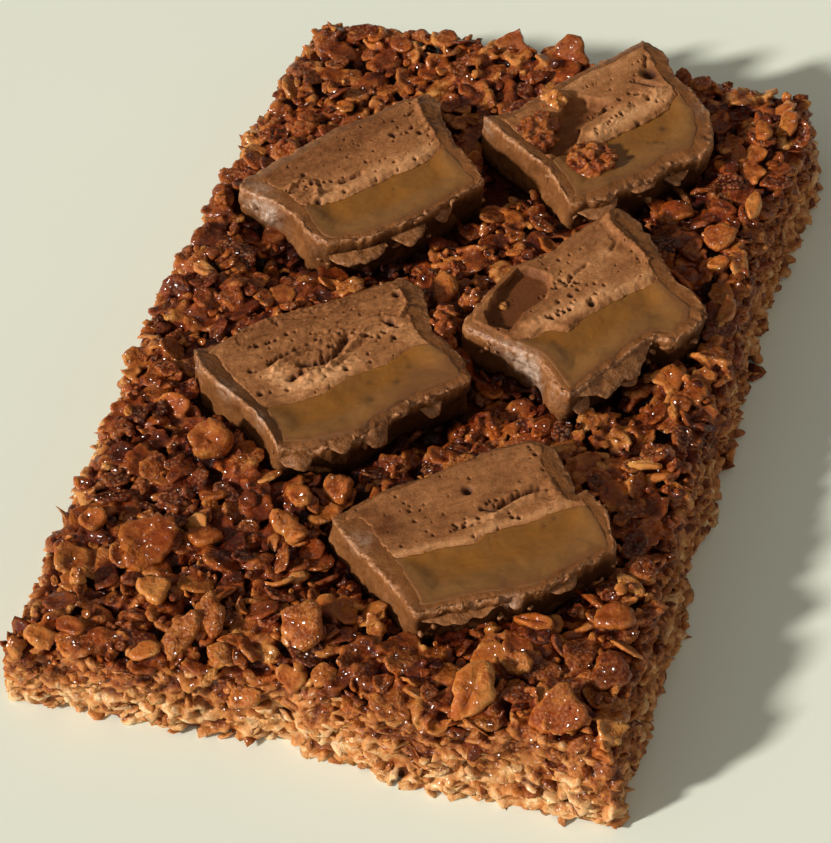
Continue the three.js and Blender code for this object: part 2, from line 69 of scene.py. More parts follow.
# Slices. The sides' points run near, right, far and left, each side from its own corner, and the
# coating's thickness and its outer edge's height over the cut face, its rim, run from each side's start
# to its end. The seam is where nougat and caramel meet, and the caramel lies lower there by its drop.
# Strokes are (size, radius, line in plan): ridges stand up, cracks are deep and painted dark as shade,
# pale and dull tint the nougat, the pale strokes along the seams partly as painted highlight and the dull
# ones partly as painted shade, and smears tint the caramel. Pores and specks are (x, y, radius), rows of
# pores (count, line), hollows (depth, outline), and pores and hollows are painted darker as shade. Lumps
# and bloom, partly a painted sheen, on the walls are (x, y, height, radius, size), and flaps (top, drop,
# flare, thickness, line). Torn says how much the nougat's ledges stand out, and lean how much the cut
# face rises along and across.
SLICE_SIZE = (27, 22)  # about, along and across
SLICE_TOP = 17.4
SLICE_FOOT = 9.4
SLICES = [
    {
        "near": [(-20.8, 12.2), (-14.5, 15.6), (-10.3, 19.6), (-7.2, 23.4), (-4.6, 27.5)],
        "right": [(-1.8, 31.3), (-5, 35.5), (-8, 38.5), (-11.7, 44.5), (-13, 47.5)],
        "far": [(-16, 50.3), (-19.6, 48), (-22.2, 44.2), (-27, 39.4), (-30.6, 33.8), (-35.2, 27.6)],
        "left": [(-37.2, 24), (-37.2, 21.5), (-30.5, 19), (-27, 17), (-24, 13.5)],
        "coating": [(1.0, 1.3), (1.4, 3.6), (2.4, 2.6), (4.2, 1.0)],
        "rim": [(-0.2, -0.1), (0.1, -0.7), (-1.5, -1.1), (-0.2, 0.2)],
        "seam": [(-27.5, 18.3), (-24.5, 20.4), (-21, 23), (-18, 26.5), (-15.5, 29.5), (-13, 31.8),
                 (-11, 34.5), (-9.8, 37.2), (-8.8, 38.6)],
        "seam_drop": 0.65,
        "torn": 0.75,
        "ridges": [(0.6, 0.5, [(-29.6, 22.4), (-28.6, 24.4), (-26.6, 24.8), (-25.4, 23.4), (-25, 21.6)]),
                   (0.45, 0.5, [(-16.2, 46.6), (-14, 42.6), (-11.6, 39.4)]),
                   (0.15, 0.9, [(-24, 21.8), (-19, 27.6), (-13, 34)])],
        "cracks": [(1.0, 0.4, [(-22.4, 26), (-21.3, 27), (-20.2, 28.5)]),
                   (0.6, 0.3, [(-25.2, 22.2), (-23, 24.4)]), (0.7, 0.25, [(-16.8, 43.2), (-16.2, 44.6)]),
                   (0.5, 0.35, [(-30, 21.2), (-28, 22.6)])],
        "pores": [(-17.8, 38.2, 0.55), (-14, 39.6, 0.4), (-24.6, 21, 0.45), (-28.4, 26.2, 0.35),
                  (-13.1, 33.4, 0.3), (-20.1, 31.2, 0.25), (-15.9, 32, 0.25), (-18.6, 41.4, 0.25),
                  (-21.4, 23.9, 0.3)],
        "pore_rows": [(7, [(-28.6, 22.4), (-24, 25.8)]), (6, [(-17.4, 36.6), (-15.2, 40.8)])],
        "pale": [(0.75, 2.0, [(-24, 22), (-20, 26.4), (-15, 31.4), (-11.6, 36)])],
        "dull": [(0.35, 3.0, [(-33, 25), (-28, 31), (-21, 41)])],
        "smears": [(0.8, 0.9, [(-11.4, 18.8), (-9.6, 21)])],
        "specks": [(-14.6, 26.9, 0.25), (-14.2, 25.6, 0.2), (-6.2, 26, 0.4)],
        "bloom_and_painted_sheen": [(-34, 21, 15.5, 1.9, 0.9), (-31.5, 18.5, 14.5, 1.7, 1.0)],
        "lumps": [(-32, 19.5, 13.5, 1.8, 0.9), (-36.5, 21, 14.5, 1.2, 0.5), (-22, 12.6, 14, 1.6, 0.5)],
        "flaps": [(14.9, 0.9, 1.7, 0.9, [(-20.4, 11.4), (-17.6, 12.9), (-14.8, 14.7), (-12.8, 16.6)]),
                  (15.8, 0.8, 1.5, 0.7, [(-12.4, 17.2), (-10.2, 19.2), (-8.2, 21.6)]),
                  (16.7, 2.4, 0.8, 0.5, [(-7.4, 23), (-6.2, 25.2), (-5.2, 26.8)])],
        "lean": (0.5, -0.3),
    },
    {
        "near": [(11.5, 30), (16.5, 33), (18.5, 36), (22, 39.2), (24.3, 43.4), (26.6, 44.6)],
        "right": [(28.7, 47), (28.5, 52), (27.5, 56.5), (24, 60.5), (20, 64.5), (17.5, 69.5)],
        "far": [(13.8, 71.5), (10, 66), (6, 61), (2.5, 55), (-2.5, 47.5)],
        "left": [(-5.8, 45.4), (0.5, 40.5), (6, 37), (9, 33.5)],
        "coating": [(1.8, 2.0), (2.2, 2.6), (1.9, 1.6), (2.4, 1.8)],
        "rim": [(-0.6, -0.3), (0.1, -0.6), (-0.7, -0.3), (0.5, 0.1)],
        "seam": [(6.5, 38), (8, 40.5), (10, 43), (12.6, 44.6), (14.6, 47.6), (17, 50.3), (19.2, 52.8),
                 (21, 56), (21.9, 58.6), (21.6, 60.8)],
        "seam_drop": 0.8,
        "torn": 0.5,
        "ridges": [(0.5, 0.8, [(11.6, 46.4), (13.6, 50.4), (15.2, 55), (19, 59.4)]),
                   (0.3, 0.5, [(15.6, 66), (17.6, 65.2), (18.6, 62.6)])],
        "cracks": [(0.7, 0.3, [(15.2, 67), (15.6, 64.6)]), (0.9, 0.45, [(15, 60.4), (18.6, 60.2)]),
                   (0.9, 0.5, [(10.2, 50), (11.8, 52.6), (11.6, 54.2)])],
        "pores": [(16.6, 63, 1.25), (13.6, 55.5, 0.35), (17.5, 51, 0.45), (11.6, 47.6, 0.3),
                  (12, 52.8, 0.35)],
        "pore_rows": [(7, [(9.4, 48.4), (10.8, 52.6)]), (6, [(14.6, 57.6), (19, 56.6)]),
                      (5, [(13, 49), (14.4, 52)])],
        "pale": [(0.85, 2.0, [(12, 46.4), (14.4, 50.2), (17, 53.6), (20, 58.6)]),
                 (0.4, 3.5, [(6, 56), (13, 66)])],
        "dull": [],
        "smears": [(0.6, 1.2, [(12, 35.5), (17, 37)]), (0.5, 1.0, [(22, 42), (25, 46)])],
        "specks": [(21.3, 51.5, 0.55), (21, 47.7, 0.6), (19.9, 47.4, 0.3), (22.2, 47.6, 0.35),
                   (18, 43.3, 0.7), (22.8, 43.9, 0.55), (23, 46, 0.25)],
        "hollows": [(2.2, [(2.6, 41.4), (3.4, 47), (5.6, 50.2), (6, 54.4), (11.6, 54.6), (10.4, 50.4),
                           (9.2, 47.6), (9.8, 43.4), (8.4, 40.4), (5.2, 39.9)])],
        "bloom_and_painted_sheen": [(27, 57, 16, 2.0, 0.4), (-5, 44.5, 16.5, 1.6, 0.4)],
        "lumps": [(29, 50, 15.5, 2.0, 0.7), (28, 47, 14, 1.5, 0.5)],
        "flaps": [(15.6, 1.2, 1.5, 0.7, [(11.8, 30.6), (14.4, 32), (16.4, 33.2), (18, 35.2)]),
                  (16.2, 1.0, 1.2, 0.6, [(19, 36.6), (21, 38.4), (22.6, 40.6)]),
                  (14.6, 1.0, 1.3, 0.8, [(23.4, 42), (25, 43.8), (26.6, 44.8)])],
        "lean": (-0.4, 0.4),
    },
    {
        "near": [(-15.6, -30), (-10, -27.6), (-5.5, -24.5), (-3, -20.6), (-0.6, -17), (3.4, -13)],
        "right": [(6.7, -10), (4, -5.3), (-1, -2), (-2.4, 1.4), (-5, 6.5)],
        "far": [(-8.5, 7.8), (-12, 5), (-16.3, 1), (-20, -1.5), (-26, -6.5), (-29.8, -12)],
        "left": [(-32.8, -14.5), (-30.4, -18.2), (-26, -21.2), (-22, -23.6), (-19, -26), (-16.8, -28.5)],
        "coating": [(1.2, 1.6), (1.4, 3.8), (0.9, 0.9), (3.6, 1.4)],
        "rim": [(-0.8, -0.9), (-0.4, -0.5), (-0.5, -0.4), (0.9, 0.8)],
        "seam": [(-19.5, -23.5), (-17.5, -21.3), (-15, -19.8), (-12.7, -18), (-10.8, -15), (-8.5, -12.4),
                 (-5.5, -10), (-4.2, -7.6), (-2.5, -5.6), (0.5, -4.6), (2.5, -4.2)],
        "seam_drop": 0.3,
        "torn": 1.1,
        "ridges": [(0.7, 0.5, [(-16, -16.4), (-13.4, -13.6), (-12, -10), (-10.6, -6.4)]),
                   (0.7, 0.45, [(-20.6, -15.4), (-19, -12.6), (-16.6, -9.6), (-13.6, -6)]),
                   (0.6, 0.4, [(-7.8, -1.6), (-6.4, -1.2), (-5.6, 2), (-7.6, 4.6)]),
                   (0.5, 0.45, [(-27.6, -8.6), (-22.6, -4.8), (-15.4, -0.4)])],
        "cracks": [(1.2, 0.55, [(-17, -13.4), (-14.6, -12.2), (-13, -10), (-12.4, -6.6)]),
                   (0.8, 0.35, [(-21.4, -14.4), (-20, -12.2), (-17.4, -9.8)]),
                   (0.8, 0.4, [(-18, -16.6), (-16.6, -14.8)]), (0.7, 0.4, [(-8, -2.2), (-6, -2.6)]),
                   (0.5, 0.3, [(-24.2, -5.6), (-22.6, -6.6)])],
        "pores": [(-7.9, 3.6, 0.5), (-7.2, -2.2, 0.5), (-2, -2, 0.5), (-21, -20.4, 0.4),
                  (-23.6, -16.6, 0.35), (-17.6, -18.6, 0.3), (-16.6, -14.8, 0.4), (-10.8, -12.6, 0.4),
                  (-13.8, -6.2, 0.4)],
        "pore_rows": [(9, [(-21.6, -14.8), (-16.6, -8.8)]), (10, [(-18, -16.6), (-12.2, -6.4)]),
                      (7, [(-25, -12.4), (-20.4, -7.8)]), (6, [(-11.6, -5.6), (-5.4, -4.6)])],
        "pale": [(0.95, 1.8, [(-20.4, -16.6), (-17, -18), (-13.4, -15.4), (-10.4, -11.6)]),
                 (0.5, 1.4, [(-9, -4), (-4.6, -3.4), (-2.6, -4.6)])],
        "dull": [(0.3, 2.4, [(-27, -11), (-22, -6), (-12, 3)])],
        "smears": [(0.9, 2.4, [(-0.5, -11), (4, -9)]), (0.5, 1.2, [(-3, -15), (0, -14)])],
        "specks": [(-6, -17, 0.8), (-3.4, -12.6, 0.6), (-7, -13.6, 0.3), (-2.4, -9.2, 0.4),
                   (-11.4, -28.4, 0.7)],
        "bloom_and_painted_sheen": [(-26, -21.5, 17.6, 1.6, 0.5), (-20, -26, 17.6, 1.4, 0.6), (-31, -17, 16.5, 1.3, 0.4)],
        "lumps": [(-14, -30.6, 14, 1.8, 0.7), (-17, -29.5, 13, 1.4, 0.4)],
        "flaps": [(15.6, 1.6, 1.6, 1.0, [(-15.4, -30.2), (-13, -29.2), (-11, -28.2)]),
                  (16.9, 0.8, 1.2, 0.6, [(-9.4, -27.4), (-7.6, -26.2), (-6, -25)]),
                  (16.3, 2.4, 1.3, 1.1, [(-5, -24.2), (-3.6, -22), (-2.6, -20.4)]),
                  (17.3, 0.7, 1.1, 0.45, [(-2.4, -19.6), (-1.4, -18.2), (-0.4, -16.8)]),
                  (15.4, 1.4, 1.3, 0.5, [(0.6, -15.8), (2.2, -14.4), (3.4, -13.2)])],
        "lean": (0.3, 0.2),
    },
    {
        "near": [(20.5, -9.8), (23, -5.6), (25.8, -1), (27.8, 3), (29.8, 5.4), (32.4, 5.2)],
        "right": [(35.2, 9), (35.4, 13), (32.8, 16), (30.3, 17.4), (28.2, 20.5), (25.4, 24.8),
                  (22.4, 28.8)],
        "far": [(18.5, 31.5), (15, 26.5), (11, 19), (6.5, 14.5), (4.4, 8)],
        "left": [(2.5, 0.5), (6, -1), (10, -2), (15, -3.6), (17.5, -6.5)],
        "coating": [(1.0, 1.6), (1.8, 3.4), (0.9, 1.1), (1.6, 1.0)],
        "rim": [(-0.2, 0.1), (0.3, -0.5), (-0.5, -0.7), (-0.9, -0.3)],
        "seam": [(10.5, -1.3), (12.2, -0.2), (13.4, 0.8), (14.5, 2.5), (15.8, 2.8), (17.4, 3.2),
                 (18.4, 4.8), (18.8, 6.4), (20.6, 8.6), (22.3, 11), (24, 13.2), (26, 14.8), (27.2, 16.3),
                 (28, 18.4)],
        "seam_drop": 0.6,
        "torn": 0.5,
        "ridges": [(0.75, 0.55, [(17.4, 30), (18, 27.4), (21, 24.2), (24.2, 21.8), (25.8, 20.4)]),
                   (0.35, 0.8, [(12, 2.6), (16, 6.4), (21, 11.6), (26, 16.6)])],
        "cracks": [(0.6, 0.3, [(15.2, 12), (15.5, 14), (17, 17.2)]),
                   (0.5, 0.3, [(19.8, 21.6), (20.1, 23.4)])],
        "pores": [(16.3, 10.2, 0.4), (19.5, 9.3, 0.55), (16.8, 7.2, 0.35), (16.1, 6.5, 0.35),
                  (17, 11.6, 0.3), (14.7, 4.8, 0.4), (19.7, 11.3, 0.25), (14.8, 8.5, 0.3),
                  (26.3, 20.2, 0.6), (12.9, 17.2, 0.3)],
        "pore_rows": [(7, [(13, 11), (15.6, 14)]), (6, [(14.4, 5), (17.6, 9)]),
                      (5, [(16.6, 13), (20, 13.4)])],
        "pale": [(0.7, 1.8, [(12, 1.6), (16, 6.4), (21, 11.4), (26.4, 17)]),
                 (0.5, 2.0, [(15, 13), (19, 20)])],
        "dull": [(1.0, 2.8, [(8.6, 11), (9.4, 6), (8, 2.4)])],
        "smears": [(0.6, 1.2, [(15, -3.4), (18, -7)]), (0.7, 1.5, [(30, 13), (33, 12)])],
        "specks": [],
        "hollows": [(1.3, [(6.2, 13.8), (9, 14.2), (12.3, 13.6), (13.2, 11.4), (12.8, 8.4), (10.8, 6),
                           (10.3, 3.4), (9.4, 0.9), (6.6, 0.8), (5.4, 3.2), (5.6, 8)])],
        "bloom_and_painted_sheen": [(12.6, -3, 15.2, 1.9, 1.3), (14.8, -3.8, 13.2, 1.9, 1.3), (9.4, -2, 16, 1.6, 0.6)],
        "lumps": [(18.2, -7.6, 13.6, 2.8, 1.4), (11, -2.6, 13, 1.6, 0.5)],
        "flaps": [(17.0, 2.0, 2.5, 0.6, [(21, -8.8), (23.2, -5.2), (26, -0.8), (27.8, 2.8), (29.2, 4.6)]),
                  (15.4, 2.4, 1.0, 0.8, [(20.8, -9.4), (21.8, -7.8), (22.8, -6)]),
                  (14.4, 1.4, 1.8, 0.9, [(24.6, -2.8), (26.4, 0), (28, 2.6)])],
        "lean": (-0.3, 0.3),
    },
    {
        "near": [(10.3, -54.5), (16, -50.8), (21, -48.4), (25.6, -46), (29, -41)],
        "right": [(33.3, -36.5), (30.4, -30), (27, -26.4), (25.8, -28), (24.6, -25)],
        "far": [(20.5, -19.5), (17.5, -19), (13, -22), (7.5, -27.5), (0, -34), (-2.5, -37)],
        "left": [(-5.3, -40.5), (-1, -44.5), (4, -48.5), (7, -51)],
        "coating": [(1.3, 1.1), (1.0, 3.2), (0.9, 0.9), (4.2, 1.8)],
        "rim": [(-0.4, -0.2), (0.0, -0.4), (-0.4, -0.3), (0.0, 0.0)],
        "seam": [(4.5, -46.5), (6.5, -45.2), (8.5, -44), (10.5, -42.3), (12.5, -41.6), (14.5, -40.3),
                 (15.7, -38.6), (17.5, -37), (19.5, -35.6), (21.5, -34.2), (23.5, -32.3), (25.5, -31),
                 (27.5, -29.8)],
        "seam_drop": 0.1,
        "torn": 0.3,
        "ridges": [(0.45, 0.3, [(16, -35.2), (17.2, -33.4), (19, -31), (21.6, -28.8)]),
                   (0.3, 0.4, [(13.4, -33.4), (16.4, -31.6), (19.4, -28.6)]),
                   (0.5, 0.8, [(22, -27), (23.6, -29)])],
        "cracks": [(1.3, 0.32, [(14.2, -34), (15.8, -33.6), (17.2, -31.8), (18.6, -30), (20.8, -28.3)]),
                   (0.8, 0.3, [(20.6, -24.6), (22, -23.6)]),
                   (0.6, 0.25, [(11.6, -38.6), (13, -37.6), (14.8, -36.4)])],
        "pores": [(11.5, -31, 0.7), (18.5, -34.3, 0.3), (19.4, -34.2, 0.3), (6, -38.3, 0.25),
                  (14.2, -35.8, 0.3), (18.8, -22.2, 0.3)],
        "pore_rows": [(6, [(11, -38.8), (13.4, -37)]), (6, [(14.8, -33), (18, -30.4)]),
                      (4, [(1.4, -33.6), (5, -37)])],
        "pale": [(0.7, 0.8, [(4.6, -45.6), (10.4, -41.6), (14.4, -39.6), (16.6, -36.8), (21.4, -33.4),
                             (25, -30.4)]),
                 (0.6, 0.7, [(13.4, -37), (16, -34.6), (19.4, -30.4)])],
        "dull": [(0.35, 2.0, [(0, -38), (4, -41)]), (0.4, 1.3, [(2.2, -41.3), (2.4, -41)])],
        "smears": [(0.9, 1.6, [(20.6, -46), (25, -46)]), (0.4, 1.0, [(28, -40), (31, -37)])],
        "specks": [(24, -33, 0.35), (23, -34.4, 0.35), (16.4, -38.9, 0.2)],
        "bloom_and_painted_sheen": [(22, -48.8, 16.5, 1.0, 0.8), (0, -43.6, 17.4, 1.6, 0.4)],
        "lumps": [(5, -49.5, 14, 2.0, 0.4)],
        "flaps": [(15.7, 0.7, 1.3, 0.45, [(10.8, -54.2), (14, -52), (18, -49.8), (20.6, -48.6)]),
                  (16.9, 1.6, 0.9, 0.6, [(21.2, -48.3), (22.4, -47.8), (23.4, -47.2)]),
                  (16.2, 1.2, 1.1, 0.8, [(26.2, -45), (27.8, -42.6), (29, -41)])],
        "lean": (0.2, -0.2),
    },
]
SIDES = ("near", "right", "far", "left")

# Hollows in the slab's top beside the slices: place, radius, depth
DENTS = [
    ((-30, 13), 6, 3.6), ((-12, 13.5), 6, 3.8), ((-4, 24), 5, 3.6), ((-1, 37), 6, 5.0),
    ((-2, 41), 6, 4.0), ((-4, 46), 4, 2.6), ((22, 34), 5, 3.2), ((27, 40), 5, 2.6), ((-6, -27), 6, 2.8),
    ((3, -17), 5, 3.6), ((5, -7), 6, 5.0), ((12, -8), 6, 3.9), ((28, -4), 6, 3.4), ((-1, 3), 4, 2.4),
    ((36, 5), 4, 1.8), ((-30, -20), 4, 1.8), ((17, -55), 5, 1.8), ((30, -46), 5, 1.6),
    ((-4, -48), 4, 1.0), ((3, -24), 4, 2.6), ((34, 20), 5, 1.6), ((10, -15), 5, 1.2),
    ((-26, 10.5), 5, 3.2), ((-8, 17), 5, 2.8), ((-34, 17), 4, 2.2),
]

rng = np.random.default_rng(SEED)

# Numbers and noise


def smoothstep(t):
    t = np.clip(t, 0, 1)
    return t * t * (3 - 2 * t)


def unit(vectors):
    return vectors / np.linalg.norm(vectors, axis=-1, keepdims=True)


NOISE_CELLS = 256
NOISE_REACH = 1.6  # brings the sum of slopes to about 1 at most
LAYER_STEP = 7.3  # between the layers of flat noise, in bumps
noise_rng = np.random.default_rng(SEED + 1)
noise_order = noise_rng.permutation(NOISE_CELLS)
noise_slopes = unit(noise_rng.normal(size=(NOISE_CELLS, 3)))


def noise(points, scale):
    """Smooth unevenness from about -1 to 1 at each of an array of points, in bumps about scale wide."""
    places = np.asarray(points, float) / scale
    cells = np.floor(places).astype(int)
    inside = places - cells
    ease = inside**3 * (inside * (inside * 6 - 15) + 10)
    total = np.zeros(places.shape[:-1])
    for corner in itertools.product((0, 1), repeat=3):
        x, y, z = np.moveaxis((cells + corner) % NOISE_CELLS, -1, 0)
        picked = noise_order[(noise_order[(noise_order[x] + y) % NOISE_CELLS] + z) % NOISE_CELLS]
        weight = np.prod(np.where(corner, ease, 1 - ease), axis=-1)
        total += weight * np.sum(noise_slopes[picked] * (inside - corner), axis=-1)
    return total * NOISE_REACH


def flat_noise(x, y, scale, layer):
    """The same over a plan, with a layer of its own for each use."""
    return noise(np.stack([x, y, np.full_like(x, LAYER_STEP * layer * scale)], axis=-1), scale)


def blurred(field, cells):
    """A map smoothed over a number of its cells."""
    ways = [np.fft.fftfreq(n) for n in field.shape]
    fade = np.exp(-2 * (math.pi * cells) ** 2 * (ways[0][:, None] ** 2 + ways[1][None, :] ** 2))
    return np.fft.ifft2(np.fft.fft2(field) * fade).real


# Outlines in plan


def resampled(points, count):
    """An open line of count points, evenly spaced along another line."""
    points = np.asarray(points, float)
    along = np.concatenate([[0], np.cumsum(np.linalg.norm(np.diff(points, axis=0), axis=1))])
    places = np.linspace(0, along[-1], count)
    return np.stack([np.interp(places, along, points[:, k]) for k in range(points.shape[1])], axis=1)


def smoothed_loop(loop, steps):
    """A closed line with its corners eased over a number of its points."""
    fade = np.exp(-2 * (math.pi * steps * np.fft.fftfreq(len(loop))) ** 2)
    return np.fft.ifft(np.fft.fft(loop, axis=0) * fade[:, None], axis=0).real


def outward_of(loop):
    """Unit normals of an anticlockwise closed line."""
    along = unit(np.roll(loop, -1, axis=0) - np.roll(loop, 1, axis=0))
    return np.stack([along[:, 1], -along[:, 0]], axis=1)


def distance_to_line(x, y, line):
    """How far places lie from an open line."""
    nearest = np.full(x.shape, np.inf)
    line = np.asarray(line, float)
    for (x0, y0), (way_x, way_y) in zip(line[:-1], np.diff(line, axis=0)):
        share = np.clip(((x - x0) * way_x + (y - y0) * way_y) / (way_x**2 + way_y**2), 0, 1)
        nearest = np.minimum(nearest, np.hypot(x - x0 - share * way_x, y - y0 - share * way_y))
    return nearest


def distance_outside(x, y, loop):
    """How far places lie outside a closed line, negative inside."""
    line = np.append(loop, loop[:1], axis=0)
    inside = np.zeros(x.shape, bool)
    for (x0, y0), (x1, y1) in zip(line[:-1], line[1:]):
        if y0 != y1:
            crossing = x0 + (y - y0) * (x1 - x0) / (y1 - y0)
            inside ^= ((y0 > y) != (y1 > y)) & (x < crossing)
    nearest = distance_to_line(x, y, line)
    return np.where(inside, -nearest, nearest)


def bitten(x):
    """How far the near side falls back at places along it."""
    return NEAR_BITE * np.exp(-(((x - BITE_MIDDLE) / BITE_WIDTH) ** 2))


def bulging(y):
    """How far the right side stands out at places along it."""
    return RIGHT_BULGE * np.exp(-(((y - BULGE_MIDDLE) / BULGE_WIDTH) ** 2))


def slab_loop(corners, spacing):
    """The slab's ragged outline at its top edge or foot, anticlockwise from the near left corner."""
    runs = []
    lengths = np.linalg.norm(np.roll(TOP_CORNERS, -1, axis=0) - TOP_CORNERS, axis=1)
    for k, (start, end) in enumerate(zip(corners, np.roll(corners, -1, axis=0))):
        share = np.arange(0, lengths[k], spacing)[:, None] / lengths[k]
        run = start + (end - start) * share
        if k == 0:
            run[:, 1] += bitten(run[:, 0])
        if k == 1:
            run[:, 0] += bulging(run[:, 1])
        if k == 3:
            run[:, 0] -= LEFT_BOW * np.sin(math.pi * share[:, 0])
        runs.append(run)
    loop = smoothed_loop(np.concatenate(runs), CORNER_SOFTNESS / spacing)
    ragged = 0.8 * flat_noise(*loop.T, 9, 1) + 0.4 * flat_noise(*loop.T, 3.5, 2)
    return loop + outward_of(loop) * ragged[:, None]


# Meshes


def mesh_of(name, points, triangles):
    mesh = bpy.data.meshes.new(name)
    mesh.vertices.add(len(points))
    mesh.vertices.foreach_set("co", points.astype(np.float32).ravel())
    mesh.loops.add(triangles.size)
    mesh.loops.foreach_set("vertex_index", triangles.astype(np.int32).ravel())
    mesh.polygons.add(len(triangles))
    mesh.polygons.foreach_set("loop_start", np.arange(0, triangles.size, 3, dtype=np.int32))
    return mesh


def placed(name, data):
    """A new object in the scene."""
    item = bpy.data.objects.new(name, data)
    bpy.context.scene.collection.objects.link(item)
    return item


def piece_of(name, points, triangles, finish, values, node):
    """A smooth mesh piece from points in millimetres, with named values at its points."""
    mesh = mesh_of(name, (points - PLAN_CENTRE) * MM, triangles)
    mesh.polygons.foreach_set("use_smooth", np.ones(len(triangles), bool))
    for key, value in values.items():
        value = np.asarray(value, np.float32)
        kind = "FLOAT" if value.ndim == 1 else "FLOAT_VECTOR"
        layer = mesh.attributes.new(key, kind, "POINT")
        layer.data.foreach_set("value" if kind == "FLOAT" else "vector", value.ravel())
    mesh.update(calc_edges=True)
    mesh.materials.append(FINISHES[finish])
    piece = placed(name, mesh)
    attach(piece, "root")
    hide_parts(node)


def split_quads(quads):
    return np.concatenate([quads[:, [0, 1, 2]], quads[:, [0, 2, 3]]])


def grid_faces(rows, columns, first=0, wrapped=False):
    """Triangles between rows of points that run anticlockwise seen from outside, upper row second."""
    steps = columns if wrapped else columns - 1
    row, column = np.meshgrid(np.arange(rows - 1), np.arange(steps), indexing="ij")
    after = (column + 1) % columns
    quads = np.stack([row * columns + column, row * columns + after, (row + 1) * columns + after,
                      (row + 1) * columns + column], axis=-1)
    return split_quads(quads.reshape(-1, 4)) + first


def end_fans(rows, around):
    """Triangles that close a tube of rows of points at both ends, each round one more point."""
    first = np.arange(around)
    last = first + (rows - 1) * around
    return np.concatenate([
        np.stack([np.full(around, rows * around), first, np.roll(first, -1)], axis=1),
        np.stack([np.full(around, rows * around + 1), np.roll(last, -1), last], axis=1),
    ])


def ring_faces(upper, lower):
    """Triangles between two rings of as many points, anticlockwise from above."""
    return split_quads(np.stack([upper, lower, np.roll(lower, -1), np.roll(upper, -1)], axis=1))


def rim_of(rows, columns):
    """Indices round the edge of a grid of points, anticlockwise from above."""
    index = np.arange(rows * columns).reshape(rows, columns)
    return np.concatenate([index[0, :-1], index[:-1, -1], index[-1, :0:-1], index[:0:-1, 0]])


def block_mesh(surface, skirts, foot):
    """A closed block: a grid of points on top, rings down its sides, and a grid underneath.

    surface and foot are rows x columns x 3, with columns to the right and rows to the far side, or
    foot is a ring of points, closed by a fan. Each skirt is a function of the rim's points that gives
    a ring of points lower down.
    """
    rows, columns = surface.shape[:2]
    rim = rim_of(rows, columns)
    points = [surface.reshape(-1, 3)]
    faces = [grid_faces(rows, columns)]
    upper = rim
    count = rows * columns
    for skirt in skirts:
        ring = skirt(points[0][rim])
        lower = count + np.arange(len(ring))
        faces.append(ring_faces(upper, lower))
        points.append(ring)
        upper = lower
        count += len(ring)
    lower = count + (rim if foot.ndim == 3 else np.arange(len(foot)))
    faces.append(ring_faces(upper, lower))
    points.append(foot.reshape(-1, 3))
    if foot.ndim == 3:
        faces.append(grid_faces(rows, columns, count)[:, ::-1])
    else:
        points.append(foot.mean(axis=0)[None])
        middle = np.full(len(foot), count + len(foot))
        faces.append(np.stack([middle, np.roll(lower, -1), lower], axis=1))
    return np.concatenate(points), np.concatenate(faces)


# Skins over many overlapping pieces

LEAST_VOLUME = 0.3  # smaller shells are left out
CREASE_FILL = 0.6  # share of the way to its neighbours' middle that a point in a hollow moves
RIDGE_LOSS = 0.04  # the same for a point on a ridge
LUMP_SIZE = 1.0
EVERY_ROW = (-999, 999)  # millimetres along the slab
SPARE = 0.995  # share of the most triangles that a skin is brought down to


def read_back(piece):
    """Points and triangles of a piece with its modifiers applied."""
    shown = piece.evaluated_get(bpy.context.evaluated_depsgraph_get())
    mesh = shown.to_mesh()
    points = np.empty(len(mesh.vertices) * 3, np.float32)
    mesh.vertices.foreach_get("co", points)
    mesh.calc_loop_triangles()
    triangles = np.empty(len(mesh.loop_triangles) * 3, np.int32)
    mesh.loop_triangles.foreach_get("vertices", triangles)
    shown.to_mesh_clear()
    return points.reshape(-1, 3).astype(float), triangles.reshape(-1, 3)


def modified(points, triangles, kind, **settings):
    """A mesh after one of Blender's modifiers, made on a scratch object that is then removed."""
    mesh = mesh_of("scratch", points, triangles)
    mesh.update(calc_edges=True)
    piece = placed("scratch", mesh)
    modifier = piece.modifiers.new(kind, kind)
    for key, value in settings.items():
        setattr(modifier, key, value)
    result = read_back(piece)
    bpy.data.objects.remove(piece)
    bpy.data.meshes.remove(mesh)
    return result


def corners_of(points, triangles):
    return [points[triangles[:, k]] for k in range(3)]


def outer_shells(points, triangles):
    """The mesh without its sealed pockets, whose shells face inwards, and without specks."""
    label = np.arange(len(points))
    ends = np.concatenate([triangles[:, :2], triangles[:, 1:]])
    while True:
        a, b = label[ends[:, 0]], label[ends[:, 1]]
        lower = np.minimum(a, b)
        joined_label = label.copy()
        np.minimum.at(joined_label, a, lower)
        np.minimum.at(joined_label, b, lower)
        joined_label = joined_label[joined_label]
        if np.array_equal(joined_label, label):
            break
        label = joined_label
    a, b, c = corners_of(points, triangles)
    volume = np.bincount(label[triangles[:, 0]], np.sum(a * np.cross(b, c), axis=1) / 6, len(points))
    return without_points(points, triangles, volume[label] > LEAST_VOLUME)


def without_points(points, triangles, kept, values=None):
    """The mesh with only the points kept and the triangles between them."""
    order = np.cumsum(kept) - 1
    triangles = order[triangles[kept[triangles[:, 0]]]]
    if values is None:
        return points[kept], triangles
    return points[kept], triangles, {key: value[kept] for key, value in values.items()}


def summed_at(at, vectors, count):
    """The sum of the vectors that belong to each of a count of points."""
    return np.stack([np.bincount(at, vectors[:, k], count) for k in range(3)], axis=1)


